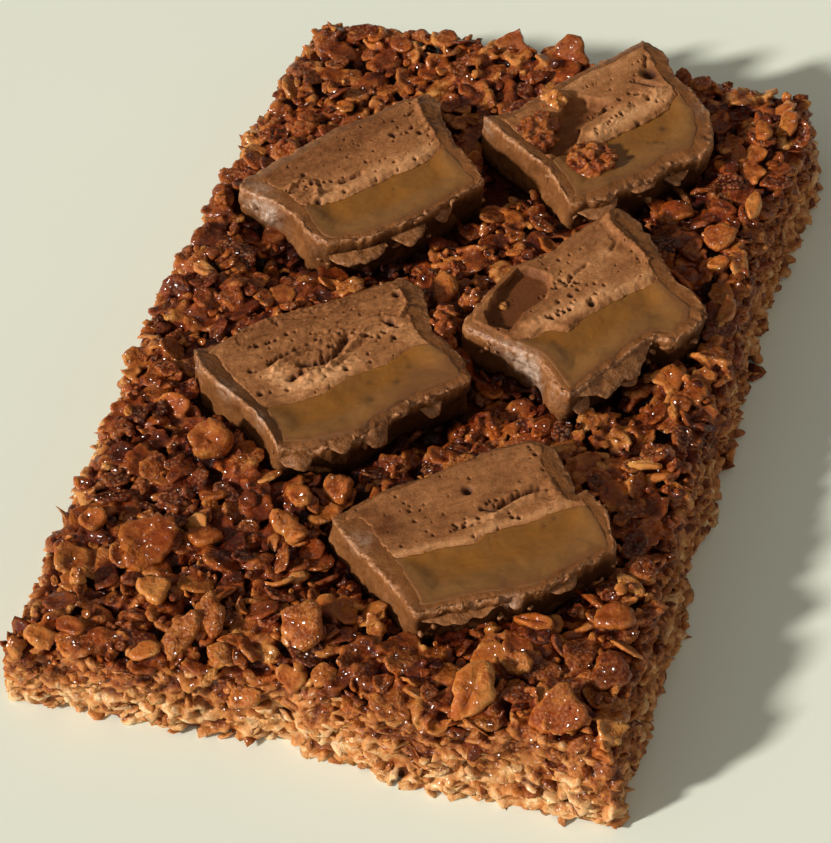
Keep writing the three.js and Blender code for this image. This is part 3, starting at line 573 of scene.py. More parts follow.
def towards_neighbours(points, triangles):
    """For each point the way to the middle of its neighbours, and the outward normal there."""
    ends = np.concatenate([triangles[:, [0, 1]], triangles[:, [1, 2]], triangles[:, [2, 0]]])
    count = np.bincount(ends[:, 0], minlength=len(points))[:, None]
    total = summed_at(ends[:, 0], points[ends[:, 1]], len(points))
    a, b, c = corners_of(points, triangles)
    faces = np.tile(np.cross(b - a, c - a), (3, 1))
    normal = summed_at(triangles.T.ravel(), faces, len(points))
    normal /= np.maximum(np.linalg.norm(normal, axis=1, keepdims=True), 1e-12)
    return total / np.maximum(count, 1) - points, normal


def creases_filled(points, triangles):
    """The mesh with its hollows rounded out as syrup rounds them, and its ridges nearly kept."""
    way, normal = towards_neighbours(points, triangles)
    hollow = np.sum(way * normal, axis=1, keepdims=True) > 0
    return points + way * np.where(hollow, CREASE_FILL, RIDGE_LOSS)


def roughened(points, triangles, depth, scale):
    """The mesh with fine lumps and wrinkles pushed out along its normals."""
    _, normal = towards_neighbours(points, triangles)
    lumps = noise(points, scale) + 0.8 * (0.4 - np.abs(noise(points + 50, 0.7 * scale)) * 1.6)
    return points + normal * (depth * lumps)[:, None]


def ridges(points, triangles):
    """How sharply each point stands out, from 0 to 1, evened out twice."""
    way, normal = towards_neighbours(points, triangles)
    sharp = -np.sum(way * normal, axis=1)
    for _ in range(2):
        mean, _ = towards_neighbours(np.column_stack([sharp, sharp, sharp]), triangles)
        sharp = sharp + 0.6 * mean[:, 0]
    return smoothstep((sharp - 0.01) / 0.07)


def nearest_of(places, points):
    """For each point the number of the place that is nearest to it."""
    tree = KDTree(len(places))
    for k, place in enumerate(places):
        tree.insert(place, k)
    tree.balance()
    return np.array([tree.find(point)[1] for point in points])


def skin_over(parts, voxel, most, rough, rows=EVERY_ROW):
    """One closed skin over the meshes in some rows of the slab, with their nearest tints and grains."""
    points, triangles, values = joined(parts)
    kept = (values["row"] >= rows[0]) & (values["row"] < rows[1])
    source, triangles, values = without_points(points, triangles, kept, values)
    points, triangles = modified(source, triangles, "REMESH", mode="VOXEL", voxel_size=voxel)
    points, triangles = outer_shells(points, triangles)
    points = creases_filled(points, triangles)
    points = roughened(points, triangles, rough, LUMP_SIZE)
    if len(triangles) > most:
        points, triangles = modified(points, triangles, "DECIMATE", ratio=SPARE * most / len(triangles))
    nearest = nearest_of(source, points)
    values = {key: value[nearest] for key, value in values.items()}
    values["ridge"] = ridges(points, triangles)
    return points, triangles, values


# Materials


class Finish:
    """A procedural material. An input given as a socket is linked, and anything else is set."""

    def __init__(self, name):
        self.material = bpy.data.materials.new(name)
        self.material.use_nodes = True
        self.tree = self.material.node_tree
        self.shader = self.tree.nodes["Principled BSDF"]

    def fill(self, node, inputs):
        for key, value in inputs.items():
            socket = node.inputs[key]
            if isinstance(value, bpy.types.NodeSocket):
                self.tree.links.new(value, socket)
            else:
                socket.default_value = value

    def add(self, kind, inputs, output=0, **settings):
        node = self.tree.nodes.new("ShaderNode" + kind)
        for key, value in settings.items():
            setattr(node, key, value)
        self.fill(node, inputs)
        return node.outputs[output]

    def set(self, **inputs):
        self.fill(self.shader, {key.replace("_", " "): value for key, value in inputs.items()})

    def value(self, name):
        return self.add("Attribute", {}, "Fac", attribute_name=name)

    def place(self, name=None, stretch=(1, 1, 1)):
        """Places in millimetres: the object's own, or a named value's, stretched along its axes."""
        if name:
            places = self.add("Attribute", {}, "Vector", attribute_name=name)
            scale = stretch
        else:
            places = self.add("TexCoord", {}, "Object")
            scale = tuple(1000 * s for s in stretch)
        return self.add("Mapping", {"Vector": places, "Scale": scale})

    def cloud(self, places, size, detail=3.0, roughness=0.55):
        """Noise from 0 to 1 with bumps of a size in millimetres."""
        return self.add("TexNoise", {"Vector": places, "Scale": 1 / size, "Detail": detail,
                                     "Roughness": roughness})

    def cells(self, places, size, feature="F1"):
        return self.add("TexVoronoi", {"Vector": places, "Scale": 1 / size}, "Distance", feature=feature)

    def math(self, operation, a, b=0.0, clamp=False):
        return self.add("Math", {0: a, 1: b}, operation=operation, use_clamp=clamp)

    def span(self, value, low, high, to_low=0.0, to_high=1.0):
        return self.add("MapRange", {"Value": value, "From Min": low, "From Max": high,
                                     "To Min": to_low, "To Max": to_high})

    def mix(self, share, a, b, **settings):
        """Two colours mixed: a mix node takes them at its inputs 6 and 7, and gives them at output 2."""
        return self.add("Mix", {0: share, 6: colour(a), 7: colour(b)}, 2, data_type="RGBA", **settings)

    def ramp(self, value, stops):
        node = self.tree.nodes.new("ShaderNodeValToRGB")
        self.fill(node, {"Fac": value})
        elements = node.color_ramp.elements
        for _ in stops[2:]:
            elements.new(0.5)
        for element, (place, rgb) in zip(elements, stops):
            element.position = place
            element.color = colour(rgb)
        return node.outputs["Color"]

    def bump(self, height, depth, normal=None, strength=1.0):
        """Relief of a depth in millimetres from a height that runs from 0 to 1."""
        inputs = {"Height": height, "Distance": depth * MM, "Strength": strength}
        if normal is not None:
            inputs["Normal"] = normal
        return self.add("Bump", inputs)

    def glitter(self, places, size, normal, slope):
        """A normal tilted at random from one small crystal to the next."""
        tilt = self.add("TexVoronoi", {"Vector": places, "Scale": 1 / size}, "Color")
        tilt = self.add("VectorMath", {0: tilt, 1: (0.5, 0.5, 0.5)}, operation="SUBTRACT")
        tilt = self.add("VectorMath", {0: tilt, "Scale": slope}, operation="SCALE")
        total = self.add("VectorMath", {0: normal, 1: tilt}, operation="ADD")
        return self.add("VectorMath", {0: total}, operation="NORMALIZE")


def colour(rgb):
    return rgb if isinstance(rgb, bpy.types.NodeSocket) else (*rgb, 1.0)


def oat_finish(name, stops, gloss, beaded, reddened):
    """Oats in syrup: each flake has a tint of its own and a paler rim, partly dry and partly a painted
    highlight, with painted shade, dark red to near black, in the gaps.
    """
    made = Finish(name)
    place = made.place()
    grain = made.value("grain")
    painted_gap_shade = made.value("painted_gap_shade")
    mottle = made.cloud(place, 1.5, 2.5, 0.55)
    fine = made.cloud(place, 0.4, 3.0, 0.6)
    patches = made.cloud(place, 2.6, 1.0)
    crusted = made.math("MAXIMUM", made.span(patches, 0.46, 0.6), made.span(grain, 0.3, 0.8))
    mottled = made.span(mottle, 0.25, 0.75, -0.28, 0.28)
    mottled = made.math("MULTIPLY", mottled, made.span(crusted, 0, 1, 0.4, 1.0))
    shade = made.math("ADD", made.value("tint"), mottled)
    shade = made.math("ADD", shade, made.span(fine, 0.3, 0.7, -0.06, 0.06))
    # Ridges are painted paler: partly dry edges, partly a painted highlight.
    shade = made.math("ADD", shade, made.math("MULTIPLY", made.value("ridge"), 0.24))
    base = made.ramp(shade, stops)
    red = made.span(made.cloud(place, 5.0, 1.0), 0.4, 0.64, 0, reddened)
    base = made.mix(red, base, (1, 0.7, 0.5), blend_type="MULTIPLY")
    crystals = made.math("MULTIPLY", grain, made.span(made.cells(place, 0.55), 0.3, 0.55, 0.45, 0.0))
    base = made.mix(crystals, base, (0.5, 0.21, 0.09))
    # Painted shade in the gaps: dark red, then near black, the deeper a point lies.
    base = made.mix(made.span(painted_gap_shade, 0, 0.5, 0, 0.7), base, (0.13, 0.014, 0.0015))
    base = made.mix(made.span(painted_gap_shade, 0.35, 1, 0, 0.95), base, (0.012, 0.001, 0.0002))
    wrinkles = made.math("ABSOLUTE", made.span(made.cloud(place, 1.0, 2.0), 0.3, 0.7, -1, 1))
    relief = made.bump(fine, 0.07, made.bump(mottle, 0.25), made.span(crusted, 0, 1, 0.3, 1.0))
    relief = made.bump(wrinkles, 0.12, relief, made.span(crusted, 0, 1, 0.3, 1.0))
    beads = made.math("MULTIPLY", made.math("POWER", made.cells(place, 1.4, "SMOOTH_F1"), 2.0), -1.0)
    wet = made.bump(beads, 1.5, made.bump(mottle, 0.2), made.span(patches, 0.35, 0.6, beaded, 1.0))
    wet = made.glitter(place, 0.3, wet, made.span(crusted, 0, 1, 0.5, 2.3))
    # The coat thins in the painted gap shade, so the gaps reflect less.
    gloss = made.span(painted_gap_shade, 0.2, 1, gloss, 0.3 * gloss)
    made.set(Base_Color=base, Roughness=0.55, IOR=1.4, Specular_IOR_Level=0.1, Normal=relief,
             Coat_Weight=gloss, Coat_Roughness=0.17, Coat_IOR=1.42, Coat_Normal=wet,
             Subsurface_Weight=0.2, Subsurface_Radius=(1.0, 0.3, 0.06), Subsurface_Scale=1.2 * MM)
    return made.material


def syrup_finish():
    made = Finish("syrup")
    place = made.place()
    base = made.ramp(made.cloud(place, 2.5, 4.0), [
        (0.3, (0.03, 0.004, 0.001)), (0.55, (0.08, 0.013, 0.002)), (0.75, (0.15, 0.035, 0.006)),
    ])
    relief = made.bump(made.cloud(place, 1.2, 4.0), 0.8)
    made.set(Base_Color=base, Roughness=0.5, Specular_IOR_Level=0.12, Normal=relief, Coat_Weight=0.4,
             Coat_Roughness=0.17, Coat_IOR=1.33)
    return made.material


def coating_finish():
    made = Finish("coating")
    place = made.place()
    tone = made.cloud(place, 3.0, 5.0, 0.6)
    base = made.ramp(tone, [
        (0.3, (0.15, 0.05, 0.012)), (0.55, (0.205, 0.073, 0.018)), (0.75, (0.27, 0.102, 0.028)),
    ])
    # Rims, bulges, flap tops and chips are paler: partly wear, partly a painted highlight.
    worn = made.math("MULTIPLY", made.value("worn"), made.span(made.cloud(place, 0.6, 4.0), 0.4, 0.6))
    base = made.mix(made.math("MULTIPLY", worn, 0.75), base, (0.5, 0.24, 0.11))
    # Painted shade low on the walls that are out of the light, and under the flaps.
    base = made.mix(made.value("deep"), base, (0.03, 0.008, 0.002))
    # Bloom patches are paler and glossier: partly fat bloom, partly a painted sheen.
    bloom_and_painted_sheen = made.value("bloom_and_painted_sheen")
    bloom_and_painted_sheen = made.math("MULTIPLY", bloom_and_painted_sheen, made.span(made.cloud(place, 1.3, 3.0, 0.6), 0.35, 0.6))
    base = made.mix(made.math("MULTIPLY", bloom_and_painted_sheen, 0.85), base, (0.56, 0.4, 0.29))
    relief = made.bump(made.cloud(place, 1.4, 3.0), 0.22)
    relief = made.bump(made.cloud(place, 0.35, 3.0), 0.06, relief)
    relief = made.bump(made.cells(place, 0.9), 0.2, relief, made.value("bloom_and_painted_sheen"))
    made.set(Base_Color=base, Roughness=0.4, Specular_IOR_Level=0.28, Normal=relief,
             Coat_Weight=made.math("MULTIPLY", bloom_and_painted_sheen, 0.7), Coat_Roughness=0.25, Coat_Normal=relief,
             Subsurface_Weight=0.12, Subsurface_Radius=(1.0, 0.45, 0.25), Subsurface_Scale=0.6 * MM)
    return made.material


def nougat_finish():
    made = Finish("nougat")
    streaks = made.cloud(made.place("own_place", (0.4, 1.0, 1.0)), 0.9, 4.0)
    grain = made.cloud(made.place("own_place"), 0.4, 4.0, 0.65)
    patches = made.cloud(made.place("own_place", (0.6, 1.0, 1.0)), 2.4, 3.0)
    tone = made.math("ADD", made.value("pale"), made.span(streaks, 0.3, 0.7, -0.17, 0.17))
    tone = made.math("ADD", tone, made.span(grain, 0.3, 0.7, -0.18, 0.18))
    tone = made.math("ADD", tone, made.span(patches, 0.3, 0.7, -0.2, 0.2))
    base = made.ramp(made.span(tone, -0.2, 1.6), [
        (0.0, (0.14, 0.042, 0.01)), (0.3, (0.255, 0.094, 0.028)), (0.5, (0.35, 0.14, 0.046)),
        (0.75, (0.51, 0.23, 0.088)), (1.0, (0.66, 0.34, 0.15)),
    ])
    # Pores and cracks painted dark as shade.
    base = made.mix(made.value("pit"), base, (0.05, 0.012, 0.003))
    # Fine pores painted as dark spots, as shade.
    pores = made.span(made.cells(made.place("own_place", (0.7, 1.0, 1.0)), 1.7), 0.06, 0.12)
    base = made.mix(made.span(pores, 0, 1, 0.45, 0.0), base, (0.14, 0.045, 0.013))
    relief = made.bump(streaks, 0.14)
    relief = made.bump(grain, 0.12, relief)
    made.set(Base_Color=base, Roughness=0.66, Specular_IOR_Level=0.22, Normal=relief, Subsurface_Weight=0.2,
             Subsurface_Radius=(1.0, 0.5, 0.3), Subsurface_Scale=0.5 * MM)
    return made.material


def caramel_finish():
    made = Finish("caramel")
    streaks = made.cloud(made.place("own_place", (0.3, 1.0, 1.0)), 2.2, 3.0)
    fine = made.cloud(made.place("own_place", (0.5, 1.0, 1.0)), 0.7, 4.0, 0.6)
    amber = made.math("ADD", made.value("amber"), made.span(streaks, 0.3, 0.7, -0.25, 0.25), clamp=True)
    base = made.mix(amber, (0.27, 0.12, 0.028), (0.27, 0.1, 0.01))
    base = made.mix(made.span(made.cloud(made.place("own_place"), 4.5, 1.0), 0.35, 0.65, 0, 0.45), base,
                    (0.19, 0.08, 0.018))
    base = made.mix(made.span(fine, 0.35, 0.7, 0, 0.25), base, (0.18, 0.07, 0.012))
    base = made.mix(made.value("smear"), base, (0.2, 0.078, 0.021))
    base = made.mix(made.math("MULTIPLY", made.value("speck"), 0.8), base, (0.1, 0.036, 0.008))
    relief = made.bump(made.cloud(made.place("own_place", (0.4, 1.0, 1.0)), 1.3, 3.0), 0.14)
    relief = made.bump(fine, 0.05, relief)
    made.set(Base_Color=base, Roughness=0.4, Normal=relief, Coat_Weight=0.12, Coat_Roughness=0.25,
             Coat_Normal=relief, Subsurface_Weight=0.4, Subsurface_Radius=(1.0, 0.45, 0.12),
             Subsurface_Scale=1.4 * MM)
    return made.material


TOP_TINTS = [
    (0.0, (0.03, 0.003, 0.0006)), (0.25, (0.1, 0.016, 0.002)), (0.5, (0.22, 0.048, 0.006)),
    (0.75, (0.37, 0.115, 0.018)), (1.0, (0.53, 0.225, 0.055)),
]
SIDE_TINTS = [
    (0.0, (0.08, 0.012, 0.002)), (0.25, (0.25, 0.07, 0.012)), (0.5, (0.47, 0.19, 0.05)),
    (0.75, (0.58, 0.31, 0.12)), (1.0, (0.7, 0.48, 0.25)),
]
FINISHES = {
    "top_oats": oat_finish("top_oats", TOP_TINTS, 0.9, 0.3, 0.8),
    "side_oats": oat_finish("side_oats", SIDE_TINTS, 0.5, 0.0, 0.4),
    "syrup": syrup_finish(),
    "coating": coating_finish(),
    "nougat": nougat_finish(),
    "caramel": caramel_finish(),
}

# Flake shapes: rings from the middle of the upper face round the rim to the middle of the lower one

FULL_PROFILE = [
    (0, 0.8), (0.36, 0.85), (0.7, 1.0), (0.93, 0.7), (1, 0), (0.92, -0.6), (0.55, -0.85), (0, -0.85),
]
SMALL_PROFILE = [(0, 0.9), (0.66, 0.95), (1, 0.1), (0.7, -0.75), (0, -0.85)]


def flake_shapes(count, sides, profile, groove_share, ragged, uneven):
    """Uneven flakes about 2 across and 2 thick, count x points x 3, and the triangles of one of them."""
    angle = 2 * math.pi * (np.arange(sides) + rng.uniform(0, 1, (count, 1))) / sides
    reach = np.ones((count, sides))
    for wave in range(2, 5):
        size = rng.normal(0, 0.17 / wave, (count, 1))
        reach += size * np.cos(wave * angle + rng.uniform(0, 2 * math.pi, (count, 1)))
    for _ in range(2):  # straight broken edges
        facing = np.cos(angle - rng.uniform(0, 2 * math.pi, (count, 1)))
        cut = rng.uniform(0.6, 1.5, (count, 1)) / np.maximum(facing, 0.05)
        reach = np.minimum(reach, cut)
    reach *= 1 + rng.normal(0, ragged, (count, sides))
    shares, heights = np.array(profile[1:-1]).T
    x = shares[:, None] * (reach * np.cos(angle))[:, None, :]
    y = shares[:, None] * (reach * np.sin(angle))[:, None, :]
    z = np.broadcast_to(heights[:, None], x.shape)
    rings = np.stack([x, y, z], axis=-1).reshape(count, -1, 3)
    ends = np.zeros((count, 2, 3))
    ends[:, :, 2] = profile[0][1], profile[-1][1]
    shapes = np.concatenate([rings, ends], axis=1)
    x, y, z = np.moveaxis(shapes, -1, 0)
    own = rng.uniform(0, 90, (count, 1))
    spots = np.stack([x, y, z * 0.2 + own], axis=-1)
    swell = noise(spots, 0.9)
    crease = -np.abs(noise(spots + 40, 0.6))
    groove = np.where(rng.uniform(size=(count, 1)) < groove_share, 0.6, 0.0)
    groove = groove * np.exp(-((y / 0.13) ** 2)) * (z > 0.3) * (np.abs(x) < 0.8)
    bend, twist = rng.normal(0, 0.9, (2, count, 1))
    lifted = z + uneven * (0.55 * swell + 0.75 * crease + bend * (x**2 - 0.3) + twist * x * y) - groove
    shapes = np.stack([x + 0.08 * swell, y + 0.08 * crease, lifted], axis=-1)
    rows = len(profile) - 2
    faces = grid_faces(rows, sides, wrapped=True)[:, ::-1]
    return shapes, np.concatenate([faces, end_fans(rows, sides)])


def turned_frames(yaw, lean, way):
    """Along, across and up of a flake, turned by yaw and then leaning by an angle towards a way."""
    up = np.stack([np.sin(lean) * np.cos(way), np.sin(lean) * np.sin(way), np.cos(lean)], axis=-1)
    along = np.stack([np.cos(yaw), np.sin(yaw), np.zeros_like(yaw)], axis=-1)
    along = unit(along - up * np.sum(along * up, axis=-1, keepdims=True))
    return np.stack([along, np.cross(up, along), up], axis=-2)


# Where flakes come to rest

MOST_LEAN = 65  # degrees
TINT_LIMITS = (0.02, 0.98)


class Bed:
    """A map of heights on which flakes are laid one by one until they reach a target height."""

    def __init__(self, loop):
        self.low, high = loop.min(axis=0) - MAP_MARGIN, loop.max(axis=0) + MAP_MARGIN
        ways = [np.arange(start, end, MAP_CELL) for start, end in zip(self.low, high)]
        self.x, self.y = np.meshgrid(*ways, indexing="ij")
        self.edge = -distance_outside(self.x, self.y, loop)
        outers = [edges["outer"][::4] for edges in outlines]
        self.near_slice = np.min([distance_outside(self.x, self.y, outer) for outer in outers], axis=0)
        self.target = self.wanted()
        self.height = self.target - BED_DEPTH

    def wanted(self):
        """How high the flakes are to lie: drooping edges, lumps, pits, and hollows beside the slices."""
        x, y = self.x, self.y
        height = TOP - EDGE_DROOP * (1 - smoothstep(self.edge / DROOP_WIDTH))
        height += 0.6 * flat_noise(x, y, 13, 10) + 0.7 * flat_noise(x, y, 6, 11)
        height += 1.8 * np.exp(-(((x + 9) / 27) ** 4) - ((y - 67) / 6) ** 2)  # heaped up along the far edge
        height -= 1.6 * smoothstep((flat_noise(x, y, 4.2, 12) - 0.35) / 0.3)
        height -= 1.6 * np.exp(-((np.maximum(self.near_slice, 0) / 1.8) ** 2))
        for (dent_x, dent_y), radius, depth in DENTS:
            height -= depth * np.exp(-((x - dent_x) ** 2 + (y - dent_y) ** 2) / (0.6 * radius) ** 2)
        return height

    def lay(self, sizes, leans, margin, beside, tries, sink, slack):
        """Lays flakes of the given half sizes and leans; gives those that fit: sizes, frames, places."""
        spaces = np.argwhere((self.edge > margin) & (self.near_slice > beside))
        yaw, way = rng.uniform(0, 2 * math.pi, (2, len(sizes)))
        frames = turned_frames(yaw, leans, way)
        picks = rng.integers(0, len(spaces), (len(sizes), tries))
        kept, places = [], []
        for k, (half, turn) in enumerate(zip(sizes, frames)):
            picked = spaces[picks[k]]
            room = (self.target - self.height)[picked[:, 0], picked[:, 1]]
            i, j = picked[np.argmax(room)]
            place = self.drop(i, j, half, turn, sink, slack)
            if place is not None:
                kept.append(k)
                places.append(place)
        return sizes[kept], frames[kept], np.array(places)

    def drop(self, i, j, half, turn, sink, slack):
        """The place where a flake comes to rest at a cell, or nothing where it would stand too high."""
        reach = int(half[0] / MAP_CELL) + 1
        window = np.s_[max(i - reach, 0) : i + reach + 1, max(j - reach, 0) : j + reach + 1]
        x, y = self.x[window] - self.x[i, j], self.y[window] - self.y[i, j]
        up = turn[2]
        middle = -(up[0] * x + up[1] * y) / up[2]
        along = (x * turn[0, 0] + y * turn[0, 1] + middle * turn[0, 2]) / half[0]
        across = (x * turn[1, 0] + y * turn[1, 1] + middle * turn[1, 2]) / half[1]
        inside = along**2 + across**2 < 1
        thick = half[2] / up[2] * np.sqrt(np.clip(1 - along**2 - across**2, 0, 1))
        under = (self.height[window] - middle + thick)[inside]
        rest = np.quantile(under, sink)
        if rest + 0.5 * half[2] > self.target[i, j] + slack:
            return None
        covered = np.where(inside, rest + middle + thick, -np.inf)
        self.height[window] = np.maximum(self.height[window], covered)
        return self.x[i, j], self.y[i, j], rest

    def level(self, x, y, heights):
        """A map's heights at places."""
        i, j = [
            np.clip(((p - low) / MAP_CELL).round().astype(int), 0, n - 1)
            for p, low, n in zip((x, y), self.low, self.height.shape)
        ]
        return heights[i, j]


def flake_sizes(count, lengths, widths, thickness):
    """Half sizes of flakes, from ranges of length, width to length and thickness."""
    length = rng.uniform(*lengths, count)
    width = length / 2 * rng.uniform(*widths, count)
    return np.stack([length / 2, width, rng.uniform(*thickness, count) / 2], axis=1)


def flake_leans(count, spread):
    return np.radians(np.clip(np.abs(rng.normal(0, spread, count)), 0, MOST_LEAN))


def flakes_mesh(sizes, frames, places, sides, profile, tint, grain,
                groove_share=0.3, ragged=0.06, uneven=1.0):
    """One mesh of many flakes, with each flake's tint and grain, and its thin rim marked as a ridge."""
    shapes, faces = flake_shapes(len(sizes), sides, profile, groove_share, ragged, uneven)
    points = np.einsum("npk,nkd->npd", shapes * sizes[:, None, :], frames) + places[:, None, :]
    size = shapes.shape[1]
    triangles = (faces[None] + size * np.arange(len(sizes))[:, None, None]).reshape(-1, 3)
    shares = np.array([share for share, _ in profile[1:-1]])
    rim = np.append(np.repeat(shares > 0.8, sides), [False, False])
    values = {
        "tint": np.repeat(tint, size),
        "grain": np.repeat(grain, size),
        "ridge": np.tile(0.7 * rim, len(sizes)),
        "row": np.repeat(places[:, 1], size),
    }
    return points.reshape(-1, 3), triangles, values


def joined(parts):
    """Several meshes with the same values as one."""
    points, triangles, values = [], [], {}
    count = 0
    for part_points, part_triangles, part_values in parts:
        points.append(part_points)
        triangles.append(part_triangles + count)
        count += len(part_points)
        for key, value in part_values.items():
            values.setdefault(key, []).append(value)
    values = {key: np.concatenate(value) for key, value in values.items()}
    return np.concatenate(points), np.concatenate(triangles), values


# Slices' outlines

OUTLINE_SPACING = 0.31


def eased_along(pairs, counts, spacing):
    """Values that run along each side from its first to its second number, eased at the corners."""
    run = np.concatenate([np.linspace(*pair, count) for pair, count in zip(pairs, counts)])
    return smoothed_loop(run[:, None], 1.5 / spacing)[:, 0]


def slice_outline(spec):
    """A slice's outer and inner edge, outward ways, rim heights and where each side starts."""
    spacing = OUTLINE_SPACING
    points, counts = [], []
    for k, side in enumerate(SIDES):
        run = [*spec[side], spec[SIDES[(k + 1) % 4]][0]]
        length = np.linalg.norm(np.diff(run, axis=0), axis=1).sum()
        counts.append(int(length / spacing))
        points.append(resampled(run, counts[-1] + 1)[:-1])
    outer = smoothed_loop(np.concatenate(points), 0.45 / spacing)
    outward = outward_of(smoothed_loop(outer, 1.2 / spacing))
    x, y = outer.T
    outer = outer + outward * (0.2 * flat_noise(x, y, 1.6, 3) + 0.13 * flat_noise(x, y, 0.7, 4))[:, None]
    thick = eased_along(spec["coating"], counts, spacing)
    thick = np.maximum(thick + 0.3 * flat_noise(x, y, 1.8, 5) + 0.18 * flat_noise(x, y, 0.6, 6), 0.4)
    inner = smoothed_loop(outer, 0.8 / spacing) - outward * thick[:, None]
    return {
        "outer": outer,
        "inner": smoothed_loop(inner, 0.6 / spacing),
        "outward": outward,
        "rise": eased_along(spec["rim"], counts, spacing),
        "starts": np.cumsum([0, *counts[:3]]),
    }


outlines = [slice_outline(spec) for spec in SLICES]


def slice_axes(spec):
    """The middle of a slice and its ways along and across, from its corners."""
    corners = np.array([spec[side][0] for side in SIDES], float)
    along = unit(corners[1] - corners[0] + corners[2] - corners[3])
    return corners.mean(axis=0), along, np.array([-along[1], along[0]])


def slice_places(spec, x, y):
    """Places in a slice's own frame: along and across from its middle."""
    middle, along, across = slice_axes(spec)
    from_middle = np.stack([x, y], axis=-1) - middle
    return from_middle @ along, from_middle @ across


def strokes(x, y, rows):
    """The sum of strokes, each of a size that fades over a radius from a line."""
    total = np.zeros(x.shape)
    for size, radius, line in rows:
        total += size * np.exp(-((distance_to_line(x, y, line) / radius) ** 2))
    return total


def blobs(points, rows):
    """The sum of round blobs in space, each of a size that fades over a radius."""
    total = np.zeros(len(points))
    for *place, radius, size in rows:
        total += size * np.exp(-np.sum((points - np.array(place)) ** 2, axis=1) / radius**2)
    return total


def slice_height(spec, x, y):
    """The cut face of a slice: a slight lean, low waves, and its ridges."""
    along, across = slice_places(spec, x, y)
    tilt = spec["lean"][0] * along / SLICE_SIZE[0] + spec["lean"][1] * across / SLICE_SIZE[1]
    jag = 0.75 + 0.35 * flat_noise(x, y, 0.9, 7)
    return SLICE_TOP + tilt + 0.22 * flat_noise(x, y, 6, 8) + jag * strokes(x, y, spec["ridges"])


# Top of the slab

bed = Bed(slab_loop(TOP_CORNERS, 1.0))

# Flakes that stand out singly in the top: place, half sizes, yaw, lean and its way in degrees, tint,
# grain and whether it has a groove along
SHOWN_FLAKES = [
    ((-28.6, -48.1), (4.4, 3.9, 0.8), 70, 12, 250, 0.5, 0.0, 0),
    ((-21.8, -44.9), (2.7, 1.9, 0.8), 30, 14, 120, 0.6, 0.0, 0),
    ((-11.3, -35.2), (1.9, 2.1, 0.7), 40, 14, 220, 0.7, 0.2, 0),
    ((-6.7, -31.6), (2.4, 2.2, 1.1), 80, 20, 240, 0.6, 0.5, 0),
    ((-26.3, -28.9), (3.4, 3.1, 1.9), 50, 16, 240, 0.56, 0.1, 0),
    ((-24.6, -56.3), (2.9, 2.1, 0.9), -20, 8, 200, 0.84, 0.0, 0),
    ((-35.6, -57.1), (1.1, 1.1, 0.9), 0, 10, 200, 0.84, 0.0, 0),
    ((-17.0, -58.4), (3.4, 2.3, 0.9), 82, 22, 250, 0.6, 1.0, 0),
    ((-19.6, -62.7), (4.0, 2.3, 0.9), 72, 22, 260, 0.62, 1.0, 0),
    ((-4.0, -57.8), (3.6, 2.9, 1.1), 84, 18, 250, 0.62, 0.9, 0),
    ((-10.7, -41.0), (2.4, 2.2, 0.9), 10, 14, 230, 0.7, 0.6, 0),
    ((-9.4, -67.0), (2.2, 1.9, 0.8), 20, 30, 270, 0.75, 1.0, 0),
    ((-3.7, -64.8), (2.1, 1.9, 0.7), 15, 30, 270, 0.7, 0.1, 0),
    ((0.5, -63.7), (1.8, 1.7, 0.8), 15, 24, 250, 0.6, 0.5, 0),
    ((-37.0, -46.2), (1.9, 2.0, 0.8), 10, 12, 220, 0.66, 0.2, 0),
    ((19.9, -62.4), (4.0, 3.0, 1.1), 84, 24, 265, 0.76, 0.15, 1),
    ((24.8, -48.8), (2.8, 1.2, 0.7), -5, 10, 200, 0.66, 0.0, 1),
    ((20.2, -54.7), (2.5, 2.3, 0.5), 50, 20, 240, 0.7, 0.1, 0),
    ((31.7, -63.0), (3.6, 3.5, 0.8), 30, 28, 262, 0.55, 0.6, 0),
    ((36.5, -54.4), (3.0, 2.8, 0.7), 30, 12, 320, 0.36, 0.4, 0),
    ((35.0, -45.1), (3.0, 2.2, 0.8), 10, 12, 220, 0.5, 0.1, 0),
    ((24.6, -55.9), (1.7, 2.0, 0.9), 80, 16, 230, 0.72, 0.9, 0),
    ((26.5, 37.4), (3.0, 1.8, 0.7), 12, 14, 220, 0.45, 0.0, 0),
    ((33.9, 32.4), (2.6, 2.2, 0.7), 20, 16, 240, 0.6, 0.3, 1),
    ((34.7, 26.4), (1.6, 1.2, 0.6), 20, 10, 220, 0.88, 0.0, 0),
    ((37.3, 40.3), (2.6, 1.2, 0.9), 88, 14, 220, 0.82, 0.0, 0),
    ((37.9, 16.2), (3.4, 1.3, 0.9), 82, 14, 250, 0.72, 0.0, 0),
    ((33.3, -16.8), (2.6, 0.7, 0.5), 15, 8, 90, 1.0, 0.0, 0),
    ((35.8, 56.7), (2.0, 1.4, 0.8), 100, 14, 220, 0.6, 0.0, 0),
    ((39.3, 60.0), (2.6, 1.7, 0.8), 80, 16, 230, 0.72, 0.0, 0),
    ((-2.4, 10.0), (2.9, 2.0, 1.0), 80, 20, 200, 0.62, 0.3, 0),
    ((3.2, 68.0), (3.2, 2.2, 0.9), -10, 48, 260, 0.5, 0.2, 0),
    ((-6.0, 67.6), (3.0, 2.2, 0.9), 10, 42, 260, 0.5, 0.2, 0),
]

SHOWN_SINK = 0.6
SHOWN_SLACK = 9  # so much that none is left out


